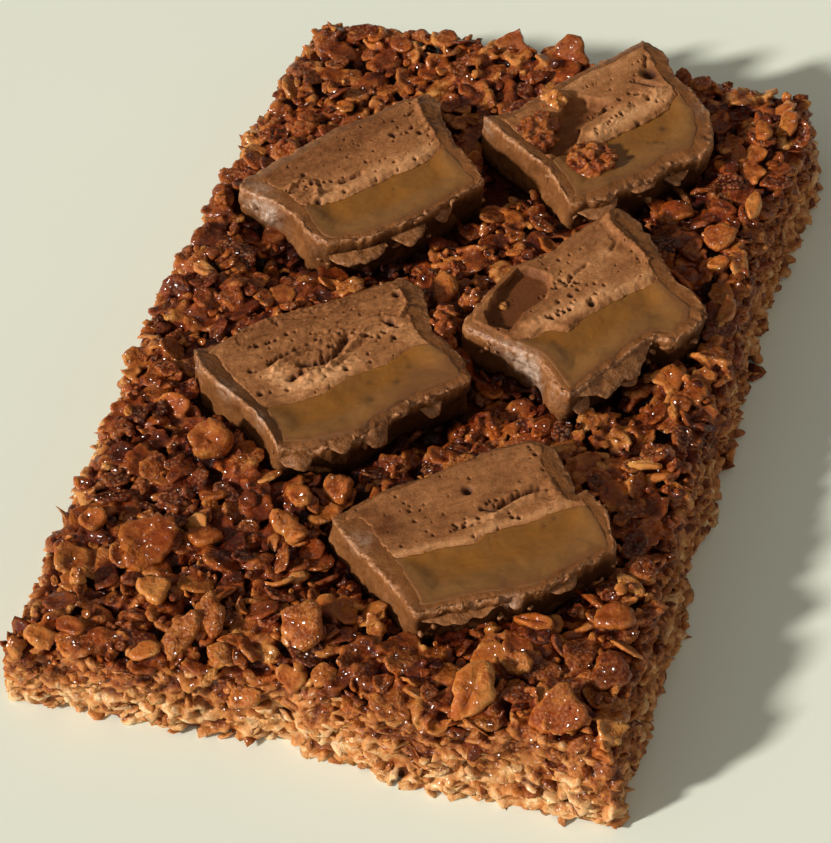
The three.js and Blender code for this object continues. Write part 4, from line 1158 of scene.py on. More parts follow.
def shown_flakes():
    rows = []
    for (x, y), half, yaw, lean, way, tint, grain, groove in SHOWN_FLAKES:
        turn = turned_frames(*np.radians([[yaw], [lean], [way]]))[0]
        i, j = ((np.array([x, y]) - bed.low) / MAP_CELL).round().astype(int)
        place = bed.drop(i, j, np.array(half), turn, SHOWN_SINK, SHOWN_SLACK)
        rows.append((half, turn, place, tint, grain, [groove]))
    sizes, frames, places, tints, grains, grooves = [np.array(column, float) for column in zip(*rows)]
    points, triangles, values = flakes_mesh(
        sizes, frames, places, 24, FULL_PROFILE, tints, grains, grooves, ragged=0.05, uneven=0.6,
    )
    return roughened(points, triangles, 0.11, 1.3), triangles, values


# Layers of flakes on the top, from below up: count, ranges of length, of width to length and of
# thickness, spread of leans in degrees, points round a flake, profile, and what differs in the laying.
# Flakes keep a margin from the slab's edge and a distance beside the slices, negative where they may run
# in under them. Each takes the deepest of a few places that it tries. It rests with a share of its
# underside, called sink, clear of the others and what remains in them, and may stand higher than the
# target by the slack.
USUAL_LAYING = {"margin": 0.6, "beside": -0.8, "tries": 5, "sink": 0.75, "slack": 0.35}
MERGED_LAYERS = [
    (700, (3.8, 6.2), (0.6, 0.9), (1.0, 1.6), 20, 12, FULL_PROFILE, {"margin": 1.6}),
    (1000, (2.4, 4.0), (0.6, 0.95), (0.9, 1.5), 32, 10, SMALL_PROFILE, {"slack": 0.0, "margin": 1.0}),
    (1300, (3.4, 6.6), (0.6, 0.9), (0.8, 1.2), 28, 16, FULL_PROFILE, {"tries": 4, "margin": 1.6}),
    (1300, (2.0, 4.0), (0.55, 0.95), (0.8, 1.2), 34, 10, SMALL_PROFILE, {"tries": 4}),
    (600, (0.9, 1.9), (0.6, 1.0), (0.7, 1.2), 38, 8, SMALL_PROFILE, {"tries": 4, "slack": 0.6}),
]
CRISP_LAYERS = [
    (400, (2.6, 5.8), (0.55, 0.9), (0.6, 0.9), 28, 14, FULL_PROFILE,
     {"tries": 4, "sink": 0.6, "slack": 0.7, "margin": 2.4, "beside": 2.0}),
    (700, (0.9, 2.4), (0.5, 0.95), (0.5, 0.9), 42, 9, SMALL_PROFILE,
     {"tries": 4, "sink": 0.65, "slack": 0.7, "margin": 1.2, "beside": 1.0}),
]


def tints_of(count, middle=0.42, spread=0.2):
    return np.clip(rng.normal(middle, spread, count), *TINT_LIMITS)


def grains_of(count, share=0.45):
    """Most pieces are smooth, and some are crusted with crystals."""
    crusted = rng.uniform(size=count) < share
    return np.where(crusted, rng.uniform(0.4, 1, count), rng.uniform(0, 0.25, count))


def top_layer(count, lengths, widths, thickness, spread, sides, profile, laying):
    sizes = flake_sizes(count, lengths, widths, thickness)
    found = bed.lay(sizes, flake_leans(count, spread), **{**USUAL_LAYING, **laying})
    laid = len(found[0])
    x, y, _ = found[2].T
    paler = 0.1 * smoothstep((-57 - y) / 9) + 0.14 * flat_noise(x, y, 11, 31)
    paler += 0.13 * smoothstep((y - 46) / 14) * smoothstep((4 - x) / 12)
    paler += 0.08 * smoothstep((x - 24) / 8) * smoothstep((20 - y) / 20)
    tint = np.clip(tints_of(laid) + paler, *TINT_LIMITS)
    return flakes_mesh(*found, sides, profile, tint, grains_of(laid))


def pooled_height():
    """The syrup between the flakes, which lies lower the deeper the gap, and under the slices' feet."""
    pooled = blurred(bed.height, 0.8 / MAP_CELL) - 1.5
    return np.where(bed.near_slice < 0.2, np.minimum(pooled, SLICE_FOOT - 0.4), pooled)


BLOCK_DROP = 2.0  # how far a block's top sinks at its edge, over as wide a strip


def slab_block(top_height, foot_height, inset, columns, rows, sides=(), ends=(0, 1)):
    """A block between a map of heights and a foot, as wide as the slab less an inset."""
    u, v = np.meshgrid(np.linspace(0, 1, columns), np.linspace(*ends, rows))
    edge = np.minimum(np.minimum(u, 1 - u) * SLAB_SIZE[0], np.minimum(v, 1 - v) * SLAB_SIZE[1])
    top = on_corners(TOP_CORNERS, u[..., None], v[..., None], inset)
    under = on_corners(FOOT_CORNERS, u[..., None], v[..., None], inset)
    fall = BLOCK_DROP * (1 - smoothstep(edge / BLOCK_DROP))
    height = bed.level(top[..., 0], top[..., 1], top_height) - fall
    surface = np.dstack([top, height])
    share = foot_height / SIDE_TOP
    plan = top * share + under * (1 - share)
    foot = np.dstack([plan, np.full_like(height, foot_height)])
    foot_rim = foot.reshape(-1, 3)[rim_of(rows, columns)]
    skirts = [lambda rim, part=part: rim * part + foot_rim * (1 - part) for part in sides]
    return block_mesh(surface, skirts, foot)


def on_corners(corners, u, v, inset):
    """Places between four corners, inset from the outline.

    The near side has its bite, the left side its bow and the right side its bulge.
    """
    plan = (corners[0] * (1 - u) + corners[1] * u) * (1 - v) + (corners[3] * (1 - u) + corners[2] * u) * v
    plan[..., 1] += bitten(plan[..., 0]) * (1 - v[..., 0])
    plan[..., 0] -= (LEFT_BOW * (1 - u) * np.sin(math.pi * v))[..., 0]
    plan[..., 0] += bulging(plan[..., 1]) * u[..., 0]
    return plan * (1 - inset / (SLAB_SIZE / 2))


SKIN_VOXEL = 0.31
MOST_IN_TOP = 172000  # triangles of each part of the top
TOP_ROUGH = 0.15  # how deep the skin's fine lumps are
SIDE_ROUGH = 0.1  # the same at the sides and on the crumbs
TOP_PARTS = {"near": (0, 0.47), "far": (0.47, 1)}  # shares of the slab's length
OPEN_END = 9  # how far the rows of the outer parts run on past the slab
SYRUP_FOOT = 6.0
SYRUP_INSET = 2.2
SYRUP_GRID = (100, 90)
SYRUP_TINT = 0.1
GAP_TOP = 12.6  # painted shade in the gaps beside the slices lies under this height
GAP_WIDTH = 4


def plain_values(points, tint, row=0.0):
    flat = np.zeros(len(points))
    return {"tint": flat + tint, "grain": flat, "ridge": flat, "row": flat + row}


def top_painted_shade(points, ridge, around):
    """Painted shade from 0 to 1: how deep each point lies among the flakes, or in the gaps beside the
    slices.
    """
    x, y, z = points.T
    deep = smoothstep((bed.level(x, y, around) - z) / 1.3) * (1 - 0.8 * ridge)
    beside = 1 - smoothstep((bed.level(x, y, bed.near_slice) - 0.5) / GAP_WIDTH)
    return np.maximum(deep, beside * smoothstep((GAP_TOP - z) / 1.5))


def slab_top():
    merged = [top_layer(*row) for row in MERGED_LAYERS]
    crisp = [top_layer(*row) for row in CRISP_LAYERS] + [shown_flakes()]
    pooled = pooled_height()
    around = blurred(bed.height, 1.4 / MAP_CELL)
    near = TOP_CORNERS[0, 1]
    length = TOP_CORNERS[3, 1] - near
    for name, (start, end) in TOP_PARTS.items():
        rows = [
            near + length * start - OPEN_END * (start == 0),
            near + length * end + OPEN_END * (end == 1),
        ]
        points, triangles = slab_block(pooled, SYRUP_FOOT, SYRUP_INSET, *SYRUP_GRID, ends=(start, end))
        syrup = (points, triangles, plain_values(points, SYRUP_TINT, sum(rows) / 2))
        points, triangles, values = skin_over([*merged, syrup], SKIN_VOXEL, MOST_IN_TOP, TOP_ROUGH, rows)
        values["painted_gap_shade"] = top_painted_shade(points, values["ridge"], around)
        piece_of(f"oat_top_{name}", points, triangles, "top_oats", values, "oat_slab")
    points, triangles, values = joined(crisp)
    values["painted_gap_shade"] = 0.8 * top_painted_shade(points, values["ridge"], around - 0.3)
    piece_of("oat_flakes", points, triangles, "top_oats", values, "oat_slab")


# Sides of the slab

# Layers of flakes at the sides: count, ranges of length, of width to length and of thickness, spread
# of leans in degrees, points round a flake, and range of how far their ends stand proud. The shards'
# row goes on with how ragged they are and how much farther in they lie at the right side.
SIDE_LAYERS = [
    (1500, (3.4, 6.0), (0.5, 0.85), (0.7, 1.1), 18, 12, (-0.9, 0.3)),
    (2200, (1.6, 3.2), (0.5, 0.9), (0.6, 1.0), 30, 9, (-0.9, 0.3)),
]
SIDE_SHARDS = (2000, (2.0, 5.4), (0.45, 0.9), (0.35, 0.7), 26, 9, (-0.5, 0.5), 0.1, 0.3)
MOST_IN_SIDES = 92000  # triangles
SIDE_CLEARANCE = 0.02  # between the sides' lowest points and the floor

side_loop = slab_loop(TOP_CORNERS, MAP_CELL)
foot_loop = slab_loop(FOOT_CORNERS, MAP_CELL)
side_outward = outward_of(smoothed_loop(side_loop, 2 / MAP_CELL))


def side_place(along, up, out):
    """A place on the sides in plan and height, from its map place and how far it stands out."""
    at = np.round(along / MAP_CELL).astype(int) % len(side_loop)
    outward = side_outward[at]
    share = (up / SIDE_TOP)[..., None]
    plan = side_loop[at] * share + foot_loop[at] * (1 - share) + outward * out[..., None]
    return np.concatenate([plan, up[..., None]], axis=-1), outward


def side_lie(along, up):
    """How far the broken side stands out: broad and small lumps, and a foot torn in and out."""
    uneven = 0.8 * flat_noise(along, up, 7, 20) + 0.7 * flat_noise(along, up, 2.6, 21)
    return uneven + 1.3 * flat_noise(along, np.zeros_like(along), 5, 22) * (1 - smoothstep(up / 4))


def side_layer(count, lengths, widths, thickness, spread, sides, proud, ragged=0.05, spare_right=0.0):
    """Flakes that lie flat in the mass and are cut through at its sides, their broken ends proud."""
    sizes = flake_sizes(count, lengths, widths, thickness)
    yaw, way = rng.uniform(0, 2 * math.pi, (2, count))
    along = rng.uniform(0, len(side_loop) * MAP_CELL, count)
    up = rng.uniform(0.2, SIDE_TOP + 0.3, count)
    out = side_lie(along, up) + rng.uniform(*proud, count) - sizes[:, :2].mean(axis=1)
    middle, outward = side_place(along, up, out)
    right = smoothstep(2 * outward[:, 0])
    middle[:, :2] -= outward * (spare_right * right)[:, None]
    frames = turned_frames(yaw, flake_leans(count, spread), way)
    stained = smoothstep((flat_noise(along, up, 8, 23) + 0.1) / 0.5)
    # Darker towards the top and where stained, and on the right side partly a duller tone of its own and
    # partly painted shade.
    darker = 0.42 * smoothstep((up - 5) / 4) + 0.2 * right + 0.2 * stained
    tint = np.clip(tints_of(count, 0.62, 0.2) - darker, *TINT_LIMITS)
    grain = grains_of(count, 0.4)
    return flakes_mesh(sizes, frames, middle, sides, SMALL_PROFILE, tint, grain, 0.1, ragged)


def side_painted_shade(points):
    """Painted shade from 0 to 1: how far back each point lies among the side's broken ends."""
    middle_loop = (side_loop + foot_loop) / 2
    at = nearest_of(
        np.column_stack([middle_loop, np.zeros(len(middle_loop))]),
        np.column_stack([points[:, :2], np.zeros(len(points))]),
    )
    share = (points[:, 2] / SIDE_TOP)[:, None]
    lie = side_loop[at] * share + foot_loop[at] * (1 - share)
    out = np.sum((points[:, :2] - lie) * side_outward[at], axis=1)
    return smoothstep((side_lie(at * MAP_CELL, points[:, 2]) - 0.75 - out) / 1.3)


def side_band(inner=6.0, outer=1.4, low=0.2, high=10.8):
    """A plain closed band behind the side flakes, between two depths and two heights."""
    corner = [(outer, low), (outer, high), (inner, high), (inner, low)]
    loop = np.arange(0, len(side_loop), 3)
    rows = [side_place(loop * MAP_CELL, np.full(len(loop), up), np.full(len(loop), -depth))[0]
            for depth, up in corner]
    faces = grid_faces(len(rows) + 1, len(loop), wrapped=True) % (len(rows) * len(loop))
    points = np.concatenate(rows)
    return points, faces, plain_values(points, 0.3)


def side_piece(name, points, triangles, values):
    points[:, 2] = np.maximum(points[:, 2], SIDE_CLEARANCE)
    values["painted_gap_shade"] = 0.9 * side_painted_shade(points)
    piece_of(name, points, triangles, "side_oats", values, "oat_slab")


def slab_sides():
    merged = [side_layer(*row) for row in SIDE_LAYERS] + [side_band()]
    side_piece("oat_sides", *skin_over(merged, SKIN_VOXEL, MOST_IN_SIDES, SIDE_ROUGH))
    side_piece("oat_shards", *side_layer(*SIDE_SHARDS))


CORE_TOP = 8.0
CORE_INSET = 2.0
CORE_GRID = (30, 50)


def slab_core():
    """The mass behind the top and the sides, with the flat underside."""
    level = np.full_like(bed.target, CORE_TOP)
    points, triangles = slab_block(level, 0.0, CORE_INSET, *CORE_GRID, sides=(0.6, 0.2))
    piece_of("oat_core", points, triangles, "syrup", {}, "oat_slab")


# Slices

RIM_ROUND = 0.22
RIM_ANGLES = np.radians([10, 50, 90])
FILLING_LAP = 0.5  # how far nougat and caramel run on under the coating
SEAM_LAP = 0.5  # how far the caramel runs on under the nougat
FILLING_SKIRT = 1.2  # height of the first ring down their sides
NOUGAT_GRID = (176, 80)
CARAMEL_GRID = (110, 46)
CHIP_COUNT = 18
CHIP_HEIGHTS = (12.5, 17.3)
FINE_PORES = 45
WALL_SHARES = np.linspace(0, 1, 13)[:-1]
BAND_SHARES = (0.15, 0.35, 0.6, 0.85, 0.97, 1.0)
NEAR_WAY = np.array([0.7, -0.7])  # the walls that face this way are undercut


def facing_out(points, triangles):
    """The triangles of a closed mesh, turned so that they face outwards."""
    a, b, c = corners_of(points, triangles)
    return triangles if np.sum(a * np.cross(b, c)) > 0 else triangles[:, ::-1]


def coating_ring(spec, edges):
    """The ring of coating round a slice, from its foot up the wall, over the cut face and down inside."""
    outer, inner, outward = edges["outer"], edges["inner"], edges["outward"]
    x, y = outer.T
    undercut = np.clip(outward @ NEAR_WAY, 0, 1)
    crumbly = 0.3 + 0.7 * undercut
    chipped = smoothstep((flat_noise(x, y, 1.5, 43) - 0.28) / 0.1) * crumbly
    top = slice_height(spec, x, y) + edges["rise"] + 0.22 * flat_noise(x, y, 2.4, 40) - 0.6 * chipped
    top += 0.14 * crumbly * flat_noise(x, y, 0.6, 44)
    inner_top = slice_height(spec, *inner.T) - 0.08
    rows, worn, deep = [], [], []

    def add(plan, z, wear_and_painted_light, dark=0.0):
        rows.append(np.column_stack([plan, np.broadcast_to(z, len(plan))]))
        worn.append(np.broadcast_to(wear_and_painted_light, len(plan)))
        deep.append(np.broadcast_to(dark, len(plan)))

    for share in WALL_SHARES:
        z = SLICE_FOOT + (top - RIM_ROUND - SLICE_FOOT) * share
        places = np.column_stack([x, y, z])
        facets = 0.55 * (0.35 - np.abs(noise(places, 3.0))) + 0.09 * noise(places, 0.9)
        bulge = 0.5 * math.sin(math.pi * share) * noise(places, 5) + facets * smoothstep(4 * share)
        bulge = bulge + blobs(places, spec["lumps"]) - 1.2 * undercut * (1 - share) ** 1.5
        # Painted shade down the wall below the rim, strongest on the undercut walls that are out of the
        # light.
        in_shade = smoothstep((top - z - 0.5 + 0.6 * noise(places, 1.5)) / 1.6)
        dark = 0.85 * (0.15 + 0.85 * undercut) * in_shade
        # Bulges are painted paler, partly wear and partly highlight.
        add(outer + outward * bulge[:, None], z, 0.15 + 0.2 * smoothstep(bulge / 0.5), dark)
    # The rim is painted palest: partly wear, partly a painted highlight where the light catches its edge.
    for angle in RIM_ANGLES:
        out = bulge * (1 - math.sin(angle)) - RIM_ROUND * (1 - math.cos(angle))
        add(outer + outward * out[:, None], top - RIM_ROUND * (1 - math.sin(angle)), 1.0)
    for share in BAND_SHARES:
        plan = outer * (1 - share) + inner * share
        dips = 0.6 * chipped * smoothstep(share / 0.4)
        rough = 0.09 * flat_noise(*plan.T, 0.8, 41) + 0.12 * flat_noise(*plan.T, 2.0, 42)
        height = top + dips * (1 - share) + (inner_top - top) * share + rough * (1 - 0.5 * share)
        add(plan, height, 0.5 * (1 - share) ** 2)
    add(inner + outward * 0.05, inner_top - 0.5, 0.2)
    add(inner + outward * 0.3, SLICE_FOOT, 0.0)
    count = len(outer)
    faces = grid_faces(len(rows) + 1, count, wrapped=True) % (len(rows) * count)
    return np.concatenate(rows), faces, {"worn": np.concatenate(worn), "deep": np.concatenate(deep)}


FLAP_INSET = 0.8
# Section of a flap, round from its root: share of the way down, side, how worn and lit, as wear and painted
# highlight, and how dark, as painted shade on its underside
FLAP_SECTION = np.array([
    (0, 0, 0.5, 0), (0.08, 1, 0.6, 0), (0.4, 1, 0.4, 0), (0.75, 1, 0.5, 0), (0.97, 0.8, 0.9, 0),
    (1, 0, 0.8, 0), (0.95, -0.8, 0.3, 0.7), (0.5, -1, 0.2, 0.8), (0.08, -1, 0.2, 0.8),
])


def flap_mesh(top, drop, flare, thick, line):
    """A broken plate of coating that stands out of the wall along a line, and droops outwards."""
    line = np.asarray(line, float)
    length = np.linalg.norm(np.diff(line, axis=0), axis=1).sum()
    run = resampled(line, max(int(length / 0.3), 6))
    along = unit(np.gradient(run, axis=0))
    out = np.stack([along[:, 1], -along[:, 0]], axis=1)
    share = np.linspace(0, 1, len(run))
    x, y = run.T
    taper = np.sqrt(np.sin(math.pi * np.clip(share, 0.03, 0.97)))
    ends = taper * (1 + 0.3 * flat_noise(x, y, 2.2, 46) + 0.08 * flat_noise(x, y, 0.8, 49))
    crest = top + 0.3 * flat_noise(x, y, 2.4, 47)
    lean = np.hypot(drop, flare)
    rows = []
    for down, side in FLAP_SECTION[:, :2]:
        wave = 0.15 * noise(np.column_stack([x, y, np.full(len(x), 2.5 * down)]), 1.3)
        shift = side * 0.5 * thick * taper + wave
        rows.append(np.column_stack([
            run + out * ((flare + FLAP_INSET) * down * ends - FLAP_INSET + shift * drop / lean)[:, None],
            crest - drop * down * ends + shift * flare / lean,
        ]))
    tube = np.stack(rows, axis=1)
    count, around = tube.shape[:2]
    points = np.concatenate([tube.reshape(-1, 3), tube[:1].mean(axis=1), tube[-1:].mean(axis=1)])
    triangles = np.concatenate([grid_faces(count, around, wrapped=True), end_fans(count, around)])
    worn, deep = np.tile(FLAP_SECTION[:, 2:].T, count)
    values = {"worn": np.append(worn, [0.5, 0.5]), "deep": np.append(deep, [0.0, 0.0])}
    return points, facing_out(points, triangles), values


def chips(edges):
    """Small broken bits of coating that cling to the walls that are out of the light and to the rim."""
    count = CHIP_COUNT
    facing = np.clip(edges["outward"] @ NEAR_WAY + 0.3, 0.04, 1)
    at = rng.choice(len(facing), count, p=facing / facing.sum())
    sizes = flake_sizes(count, (0.6, 2.0), (0.5, 0.9), (0.4, 0.9))
    z = rng.uniform(*CHIP_HEIGHTS, count)
    plan = edges["outer"][at] + edges["outward"][at] * rng.uniform(-0.5, 0.3, (count, 1))
    yaw = rng.uniform(0, 2 * math.pi, count)
    lean, way = rng.uniform(0, [[1.1], [6.28]], (2, count))
    places = np.column_stack([plan, z])
    points, triangles, _ = flakes_mesh(
        sizes, turned_frames(yaw, lean, way), places, 8, SMALL_PROFILE, z, z, 0, ragged=0.12,
    )
    # Chips are painted pale, partly wear and partly highlight.
    return points, triangles, {"worn": np.full(len(points), 0.6), "deep": np.zeros(len(points))}


def coating_piece(k, spec, edges):
    flaps = [flap_mesh(*flap) for flap in spec["flaps"]]
    points, triangles, values = joined([coating_ring(spec, edges), chips(edges), *flaps])
    values["bloom_and_painted_sheen"] = np.clip(blobs(points, spec["bloom_and_painted_sheen"]), 0, 1)
    name = f"slice_{k + 1}_coating"
    piece_of(name + "_cut", points, triangles, "coating", values, name)


def patch(low, high, left, right, columns, rows):
    """A grid of places between four lines: low and high run to the right, left and right upwards."""
    low, high = resampled(low, columns)[None], resampled(high, columns)[None]
    left, right = resampled(left, rows)[:, None], resampled(right, rows)[:, None]
    u = np.linspace(0, 1, columns)[None, :, None]
    v = np.linspace(0, 1, rows)[:, None, None]
    corners = (1 - u) * (1 - v) * low[:, :1] + u * (1 - v) * low[:, -1:]
    corners = corners + (1 - u) * v * high[:, :1] + u * v * high[:, -1:]
    return (1 - v) * low + v * high + (1 - u) * left + u * right - corners


def filling_lines(spec, edges):
    """The seam with its ends on the coating, and the four sides of the coating's inner edge."""
    loop = edges["inner"] + edges["outward"] * FILLING_LAP
    _, right, far, left = edges["starts"]
    seam = resampled(spec["seam"], 120)
    across = outward_of(seam)
    across[[0, -1]] = 0
    wavy = 0.22 * flat_noise(*seam.T, 1.3, 52) + 0.12 * flat_noise(*seam.T, 0.6, 53)
    seam = seam + across * wavy[:, None]
    start = left + np.argmin(np.linalg.norm(loop[left:] - seam[0], axis=1))
    end = right + np.argmin(np.linalg.norm(loop[right:far] - seam[-1], axis=1))
    seam[0], seam[-1] = loop[start], loop[end]
    sides = {
        "near": loop[: right + 1],
        "right_low": loop[right : end + 1],
        "right_high": loop[end : far + 1],
        "far": loop[far : left + 1][::-1],
        "left_high": loop[left : start + 1][::-1],
        "left_low": np.concatenate([loop[start:], loop[:1]])[::-1],
    }
    return seam, sides


def filling_piece(k, kind, surface, values):
    """A slice's nougat or caramel, from its cut face down to its foot."""
    rim = rim_of(*surface.shape[:2])
    foot = surface.reshape(-1, 3)[rim]
    foot[:, 2] = SLICE_FOOT
    points, triangles = block_mesh(surface, [lambda ring: ring - np.array([0, 0, FILLING_SKIRT])], foot)
    full = {}
    for key, value in values.items():
        flat = value.reshape(-1, *value.shape[2:])
        full[key] = np.concatenate([flat, flat[rim], flat[rim], flat[rim[:1]]])
    node = f"slice_{k + 1}_{kind}"
    piece_of(node + "_cut", points, triangles, kind, full, node)


def under_coating(x, y, edges):
    """From 0 on the cut face to 1 where a filling runs on under the coating."""
    return smoothstep(distance_outside(x, y, edges["inner"][::2]) / FILLING_LAP)


def own_places(spec, x, y, z):
    along, across = slice_places(spec, x, y)
    return np.stack([along, across, z], axis=-1) + rng.uniform(0, 300, 3)


def pitted(x, y, pits, sharp=3):
    """Depths from 0 to 1 of round pits, given as places and radii."""
    depth = np.zeros(x.shape)
    for pit_x, pit_y, radius in pits:
        reach = np.hypot(x - pit_x, y - pit_y) / radius
        depth = np.maximum(depth, min(1, 0.5 + radius) * np.exp(-(reach**sharp)))
    return depth


def all_pores(spec, x, y):
    """The pores that show singly, those in rows along torn ledges, and fine ones all over."""
    pores = list(spec["pores"])
    for count, line in spec["pore_rows"]:
        for px, py in resampled(line, count) + rng.normal(0, 0.3, (count, 2)):
            pores.append((px, py, rng.uniform(0.14, 0.34) * (0.85 + 0.3 * spec["torn"])))
    inside = rng.integers(0, x.size, FINE_PORES)
    pores += list(zip(x.ravel()[inside], y.ravel()[inside], rng.uniform(0.09, 0.2, FINE_PORES)))
    return pores


def nougat_piece(k, spec, edges):
    seam, sides = filling_lines(spec, edges)
    plan = patch(seam, sides["far"], sides["left_high"], sides["right_high"], *NOUGAT_GRID)
    x, y = plan[..., 0], plan[..., 1]
    along, across = slice_places(spec, x, y)
    layer = np.full_like(x, 9.0 * k)
    ragged = 0.3 * noise(np.stack([along, across, layer], axis=-1), 0.8)
    drift = 1.7 * noise(np.stack([along / 4.5, across, layer], axis=-1), 1.5) + ragged + 0.12 * across
    ledge = np.floor(drift) + smoothstep((drift % 1 - 0.72) / 0.28) - drift
    streaks = noise(np.stack([along / 6, across, layer + 4], axis=-1), 0.6)
    pit = pitted(x, y, all_pores(spec, x, y))
    cracks = strokes(x, y, spec["cracks"]) * (0.75 + 0.4 * flat_noise(x, y, 0.7, 54))
    hollow = np.zeros_like(x)
    for depth, polygon in spec.get("hollows", []):
        inside = -distance_outside(x, y, polygon) + 0.3 * flat_noise(x, y, 1.2, 55)
        hollow += depth * smoothstep((inside + 0.2) / 0.8)
    lip = 0.55 * np.exp(-((distance_to_line(x, y, seam[::3]) / 0.45) ** 2))
    smooth = 1 - 0.8 * smoothstep(hollow)
    large_ridges = [(1, 2.0, line) for size, _, line in spec["ridges"] if size > 0.4]
    beside = np.clip(strokes(x, y, large_ridges), 0, 1)
    torn = spec["torn"] * (0.4 + 0.9 * beside)
    z = slice_height(spec, x, y) + 0.02 - lip - hollow - cracks
    z += smooth * (0.34 * torn * (ledge + 0.5) + 0.07 * streaks + 0.07 * flat_noise(x, y, 1.2, 50))
    z -= 0.9 * pit + 0.4 * under_coating(x, y, edges)
    # Paleness carries painted light: the pale strokes along the seam are partly a painted highlight, the
    # dull ones partly painted shade, and the hollows are painted darker as shade.
    pale = 0.5 + 0.3 * (ledge + 0.5) * torn + strokes(x, y, spec["pale"]) - strokes(x, y, spec["dull"])
    # pit paints pores and cracks dark as shade.
    values = {
        "pit": np.clip(1.3 * pit + 0.9 * cracks, 0, 1),
        "pale": pale + 0.12 * flat_noise(x, y, 3, 56) - 0.4 * smoothstep(hollow),
        "own_place": own_places(spec, x, y, z),
    }
    filling_piece(k, "nougat", np.dstack([x, y, z]), values)


def caramel_piece(k, spec, edges):
    seam, sides = filling_lines(spec, edges)
    _, _, way_across = slice_axes(spec)
    far_side = seam + SEAM_LAP * way_across
    plan = patch(sides["near"], far_side, sides["left_low"], sides["right_low"], *CARAMEL_GRID)
    x, y = plan[..., 0], plan[..., 1]
    from_rim = np.maximum(-distance_outside(x, y, edges["inner"][::2]), 0)
    from_seam = distance_to_line(x, y, seam[::3])
    share = from_rim / (from_rim + from_seam + 1e-6)
    sag = (0.6 * np.sin(math.pi * share**1.3) + spec["seam_drop"] * share**3) * smoothstep(from_rim / 4)
    speck = pitted(x, y, spec["specks"], 2)
    z = slice_height(spec, x, y) - sag + 0.08 * flat_noise(x, y, 2.2, 60) + 0.03 * flat_noise(x, y, 0.8, 61)
    z -= 0.12 * speck + 0.4 * under_coating(x, y, edges)
    ragged = from_rim + 0.45 * flat_noise(x, y, 1.3, 62) + 0.2 * flat_noise(x, y, 0.5, 63)
    smear = 0.95 * (1 - smoothstep((ragged + 0.1) / 1.3)) + strokes(x, y, spec["smears"])
    values = {
        "amber": smoothstep((share - 0.15) / 0.5) * smoothstep(from_rim / 2.2),
        "smear": np.clip(smear, 0, 1),
        "speck": speck,
        "own_place": own_places(spec, x, y, z),
    }
    filling_piece(k, "caramel", np.dstack([x, y, z]), values)


# Crumbs

# Heaps of sticky crumbs, by what they are stuck to: middle, radii, yaw, foot, height, count, tint, and
# length of the largest
HEAPS = {
    "slice_2_nougat": [
        ((2.6, 45.6), (2.9, 5.1), 8, 16.2, 2.1, 150, 0.52, 3.0),
        ((4.2, 52.6), (2.0, 2.2), 0, 16.9, 1.9, 50, 0.85, 2.4),
    ],
    "slice_2_caramel": [((12.5, 40.6), (3.5, 3.9), 20, 16.5, 2.0, 100, 0.48, 3.0)],
    "oat_slab": [
        ((-0.6, 1.2), (1.9, 5.0), 4, 13.6, 4.2, 130, 0.5, 2.8),
        ((2.6, 8.3), (2.2, 1.8), 30, 13.6, 3.6, 40, 0.45, 2.6),
        ((7.1, 6.6), (0.6, 0.8), 0, 16.0, 0.8, 6, 0.9, 1.2),
    ],
}
HEAP_LEAN = 40  # spread of leans in degrees
CRUMB_VOXEL = 0.24
CRUMB_TRIANGLES = 55  # at most, for each crumb of a heap


def heap(middle, radii, yaw, foot, height, count, tint, largest):
    """Small flakes heaped in an ellipse, higher towards its middle."""
    angle, turn = rng.uniform(0, 2 * math.pi, count), math.radians(yaw)
    reach = np.sqrt(rng.uniform(0, 1, count))
    x, y = radii[0] * reach * np.cos(angle), radii[1] * reach * np.sin(angle)
    z = foot + height * (1 - 0.75 * reach**2) * rng.uniform(0.1, 1, count)
    places = np.column_stack([
        middle[0] + x * math.cos(turn) - y * math.sin(turn),
        middle[1] + x * math.sin(turn) + y * math.cos(turn),
        z,
    ])
    sizes = flake_sizes(count, (0.7, largest), (0.5, 0.95), (0.6, 1.2))
    yaws = rng.uniform(0, 2 * math.pi, count)
    frames = turned_frames(yaws, flake_leans(count, HEAP_LEAN), rng.uniform(0, 6.28, count))
    tints = tints_of(count, tint, 0.12)
    return flakes_mesh(sizes, frames, places, 10, SMALL_PROFILE, tints, grains_of(count, 0.6))


def crumbs():
    for node, rows in HEAPS.items():
        heaps = [heap(*row) for row in rows]
        most = CRUMB_TRIANGLES * sum(row[5] for row in rows)
        points, triangles, values = skin_over(heaps, CRUMB_VOXEL, most, SIDE_ROUGH)
        values["painted_gap_shade"] = np.zeros(len(points))
        piece_of(f"crumbs_on_{node}", points, triangles, "top_oats", values, node)


def slices():
    for k, (spec, edges) in enumerate(zip(SLICES, outlines)):
        coating_piece(k, spec, edges)
        nougat_piece(k, spec, edges)
        caramel_piece(k, spec, edges)


# Stage, light and camera

FLOOR_SIZE = 4  # metres
FLOOR_CLOUDS = 60


def floor():
    made = Finish("pale_floor")
    tone = made.cloud(made.place(), FLOOR_CLOUDS, 2.0)
    made.set(Base_Color=made.mix(tone, (0.87, 0.91, 0.77), (0.9, 0.94, 0.8)), Roughness=0.5)
    bpy.ops.mesh.primitive_plane_add(size=FLOOR_SIZE, location=(0, 0, 0))
    plane = bpy.context.object
    plane.name = "floor"
    plane.data.materials.append(made.material)


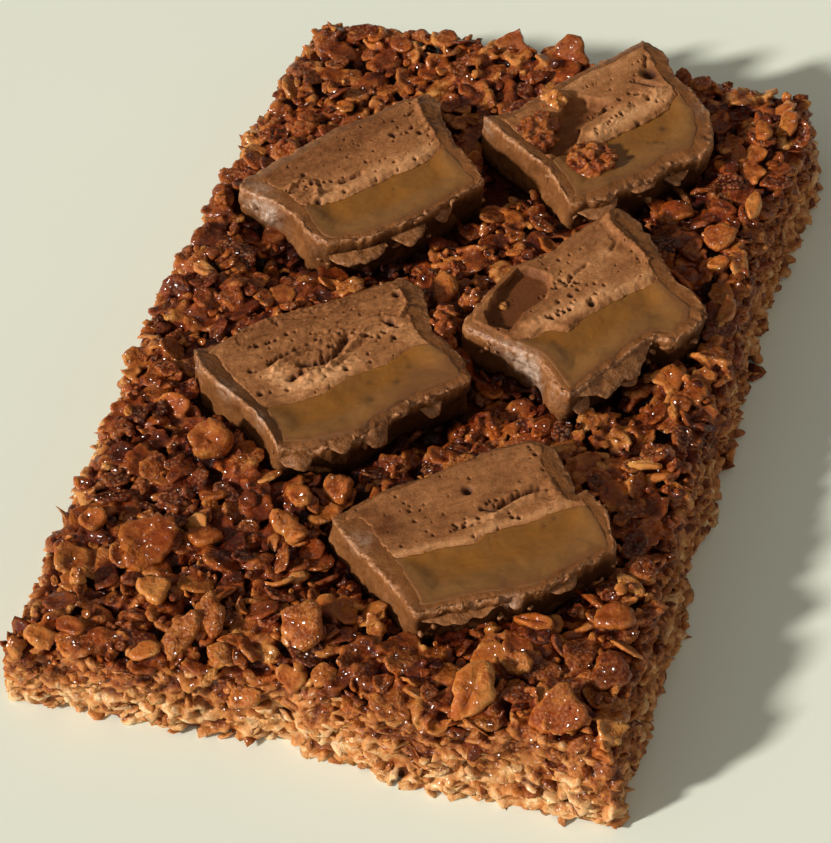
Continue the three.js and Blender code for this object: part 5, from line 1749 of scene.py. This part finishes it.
DIM_WAY = (-0.15, 0.85, 0.5)  # the studio is dimmer towards the far side
STUDIO_SHADE = {"From Min": -0.3, "From Max": 0.8, "To Min": 0.46, "To Max": 0.13}
TO_SUN = Vector((-0.665, -0.616, 0.4226))  # from the left and the camera's side, at 25 degrees


def lights():
    sun = bpy.data.lights.new("sun", "SUN")
    sun.energy = 4.3
    sun.angle = math.radians(5.5)
    sun.color = (1, 0.97, 0.93)
    lamp = placed("sun", sun)
    lamp.rotation_mode = "QUATERNION"
    lamp.rotation_quaternion = TO_SUN.to_track_quat("Z", "Y")
    world = bpy.data.worlds.new("studio")
    world.use_nodes = True
    tree = world.node_tree
    ways = tree.nodes.new("ShaderNodeTexCoord")
    facing = tree.nodes.new("ShaderNodeVectorMath")
    facing.operation = "DOT_PRODUCT"
    facing.inputs[1].default_value = DIM_WAY
    shade = tree.nodes.new("ShaderNodeMapRange")
    for key, value in STUDIO_SHADE.items():
        shade.inputs[key].default_value = value
    background = tree.nodes["Background"]
    background.inputs["Color"].default_value = (1, 0.95, 0.86, 1)
    tree.links.new(ways.outputs["Generated"], facing.inputs[0])
    tree.links.new(facing.outputs["Value"], shade.inputs["Value"])
    tree.links.new(shade.outputs["Result"], background.inputs["Strength"])
    bpy.context.scene.world = world


CAMERA_PLACE = Vector((0.08252, -0.32137, 0.3296))
CAMERA_TARGET = Vector((0.00092, -0.01547, 0.013))
FOCAL_PIXELS = 3200
LONG_SIDE_PIXELS = 843
SENSOR = 36


def camera():
    data = bpy.data.cameras.new("camera")
    data.sensor_width = SENSOR
    data.lens = SENSOR * FOCAL_PIXELS / LONG_SIDE_PIXELS
    data.clip_start, data.clip_end = 0.01, 20
    seen_from = placed("camera", data)
    seen_from.location = CAMERA_PLACE
    seen_from.rotation_mode = "QUATERNION"
    seen_from.rotation_quaternion = (CAMERA_TARGET - CAMERA_PLACE).to_track_quat("-Z", "Y")
    bpy.context.scene.camera = seen_from


camera()
lights()
floor()
slab_top()
slab_sides()
slab_core()
slices()
crumbs()
bpy.context.scene.view_settings.view_transform = "Standard"
